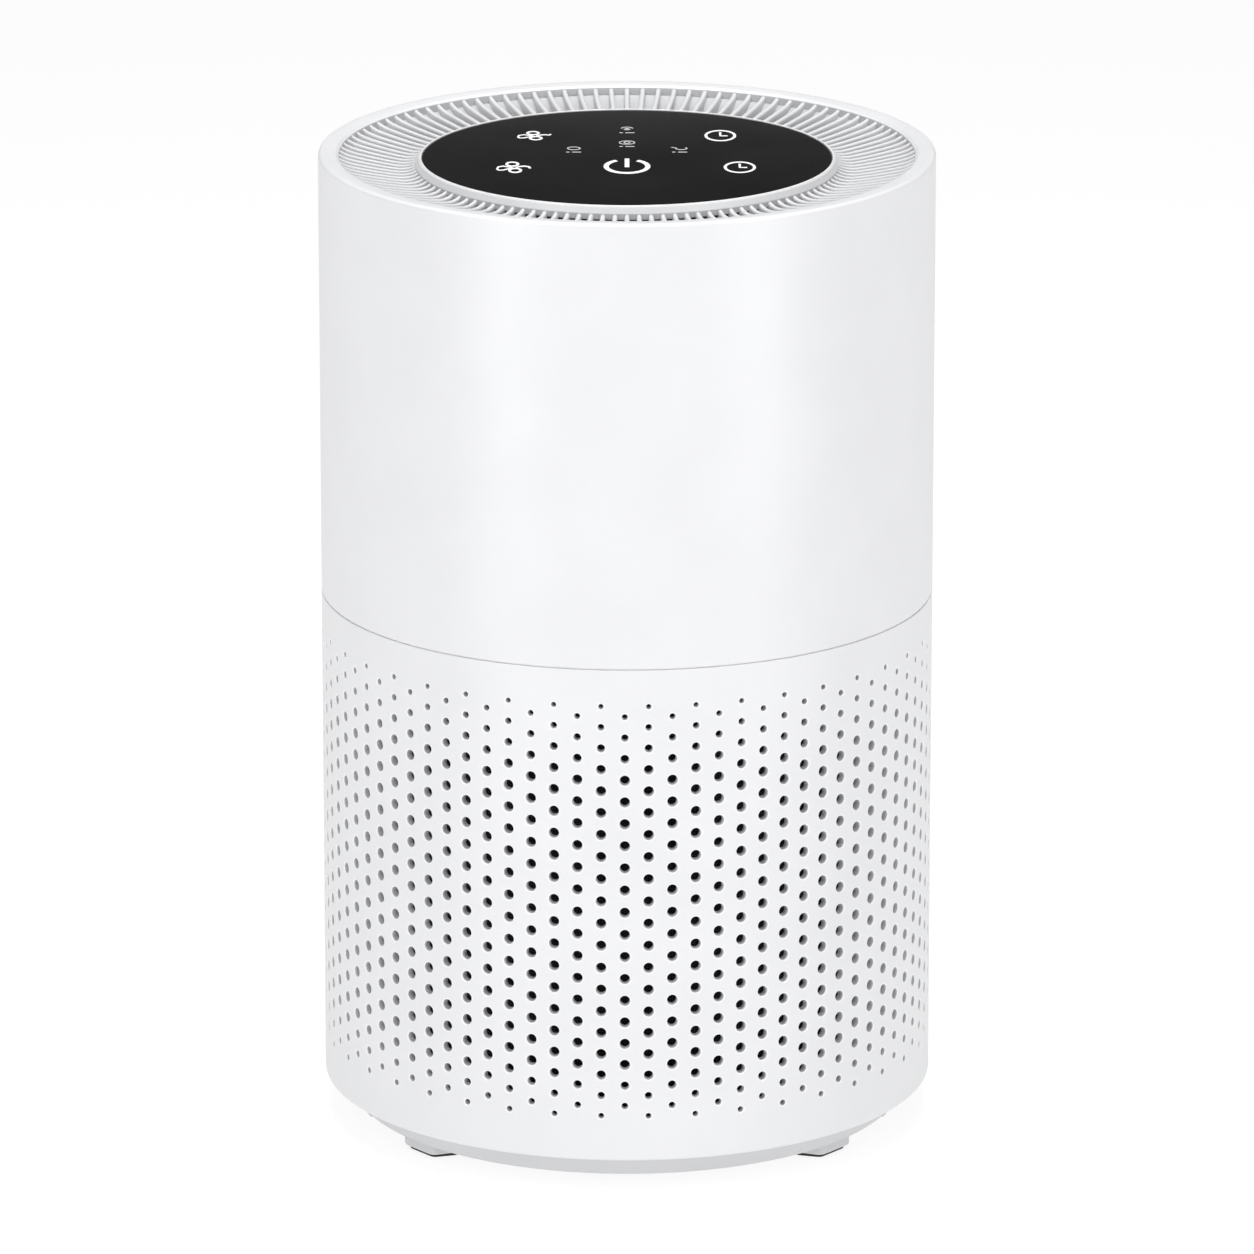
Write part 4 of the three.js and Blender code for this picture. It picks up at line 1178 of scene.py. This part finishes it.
def pull_tab():
    """A flat moulded loop under the lower cap, for drawing the filter out."""
    bottom, top = low("filter_pull_tab").z, high("filter_pull_tab").z
    build = Builder()
    outside, inside = rounded_rectangle(45, 11, 6, 6), rounded_rectangle(17, 5, 4, 6)
    build.wall(outside, inside, bottom, top)
    return build.piece("filter_pull_loop", RUBBER)


filter_caps()
stand_for(filter_pleats(), "filter", "filter_paper", "filter_pleats")
stand_for(prefilter_sleeve(), "filter", "filter_mesh", "filter_prefilter")
stand_for(prefilter_frame(), "filter", "dark_plastic")
stand_for(carbon_core(), "filter", "carbon", "filter_carbon_core")
seal = stand_for(foam_seal(), "filter", "foam", "filter_seal")
stand_for(pull_tab(), "filter", "filter_mesh", "filter_pull_tab")


# ------------------------------------------------------------------ finishes of the CAD nodes that stay

STAYING = {
    DARK: [
        "electronics_tray", "buzzer", "light_guide", "fan_deck", "power_inlet", "power_lead", "motor_lead",
    ],
    GREY: ["air_guide"],
    WHITE: ["impeller"],
    BOARD: ["control_board", "touch_board"],
    COPPER: ["motor_stator"],
    STEEL: [
        "impeller_nut", "motor_rotor", "motor_shaft", "motor_bracket", "motor_bearing_1", "motor_bearing_2",
    ],
}


def dress(node, material):
    """Gives a CAD node that stays in view one of the finishes above."""
    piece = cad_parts[node]
    piece.data.materials.clear()
    piece.data.materials.append(material)


for finish_material, names in STAYING.items():
    for node_name in names:
        dress(node_name, finish_material)
for node_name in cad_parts:
    if "_screw_" in node_name or node_name.startswith("touch_spring_"):
        dress(node_name, STEEL)


# ------------------------------------------------------------------ floor, light and camera


def floor():
    """A white light table: largely lit from below, so that the object's shadow stays faint."""
    build = Builder()
    size = 9000
    build.add([(-size, -size, 0), (size, -size, 0), (size, size, 0), (-size, size, 0)], [[0, 1, 2, 3]])
    material, shader = new_material("pale_floor", (0.28, 0.28, 0.28), 0.9, specular=0.05)
    shader.inputs["Emission Color"].default_value = (1, 1, 1, 1)
    shader.inputs["Emission Strength"].default_value = 0.78
    ground = build.piece("floor", material, None)


def stand_off(item, target, away, distance):
    """Sets a lamp or camera at a distance from its target and turns it to face it."""
    item.location = target + away * distance
    item.rotation_mode = "QUATERNION"
    item.rotation_quaternion = away.to_track_quat("Z", "Y")


def soft_light(name, power, size, azimuth, elevation, distance, target=0.19):
    """A softbox aimed at the object. Azimuth 0 is at the camera's side, positive to the right."""
    light = bpy.data.lights.new(name, "AREA")
    light.shape = "RECTANGLE"
    light.size, light.size_y = size
    light.energy = power
    lamp = new_object(name, light)
    a, e = math.radians(azimuth), math.radians(elevation)
    away = Vector((math.sin(a) * math.cos(e), -math.cos(a) * math.cos(e), math.sin(e)))
    stand_off(lamp, Vector((0, 0, target)), away, distance)
    lamp.visible_camera = False


def world_light():
    """Pale light from overhead, fair from in front and almost none from behind, the sides or below."""
    world = bpy.data.worlds.new("studio")
    bpy.context.scene.world = world
    world.use_nodes = True
    tree = world.node_tree
    place = tree.nodes.new("ShaderNodeTexCoord")
    rise = tree.nodes.new("ShaderNodeVectorMath")
    rise.operation = "DOT_PRODUCT"
    rise.inputs[1].default_value = (0, -0.27, 1)
    size = tree.nodes.new("ShaderNodeVectorMath")
    size.operation = "ABSOLUTE"
    sides = tree.nodes.new("ShaderNodeVectorMath")
    sides.operation = "DOT_PRODUCT"
    sides.inputs[1].default_value = (-0.3, 0, 0)
    tree.links.new(place.outputs["Generated"], rise.inputs[0])
    tree.links.new(place.outputs["Generated"], size.inputs[0])
    tree.links.new(size.outputs["Vector"], sides.inputs[0])
    total = math_node(tree, "ADD", rise.outputs["Value"], sides.outputs["Value"])
    color = color_ramp(tree, total, (0.02, 0.02, 0.0205), (1, 1, 1), last_place=0.8)
    background = tree.nodes["Background"]
    tree.links.new(color, background.inputs["Color"])
    background.inputs["Strength"].default_value = 0.83


def camera():
    """A long lens a little above the object, square to its front."""
    lens = bpy.data.cameras.new("camera")
    lens.sensor_width = 36
    lens.lens = 289.9
    lens.clip_end = 50
    eye = new_object("camera", lens)
    aim_height, distance, elevation = 0.1793, 3.644, math.radians(16.19)
    away = Vector((0, -math.cos(elevation), math.sin(elevation)))
    stand_off(eye, Vector((0, 0, aim_height)), away, distance)
    bpy.context.scene.camera = eye


floor()
world_light()
soft_light("strip_left", 7.4, (0.2, 1.5), -42, 20, 1.4)
soft_light("strip_right", 7.0, (0.2, 1.5), 48, 20, 1.4)
soft_light("overhead", 12.5, (0.8, 0.8), 0, 95, 1.5)
soft_light("panel_glow", 0.012, (0.7, 0.03), 180, 6, 0.36, 0.37)
camera()
bpy.context.scene.view_settings.view_transform = "Standard"
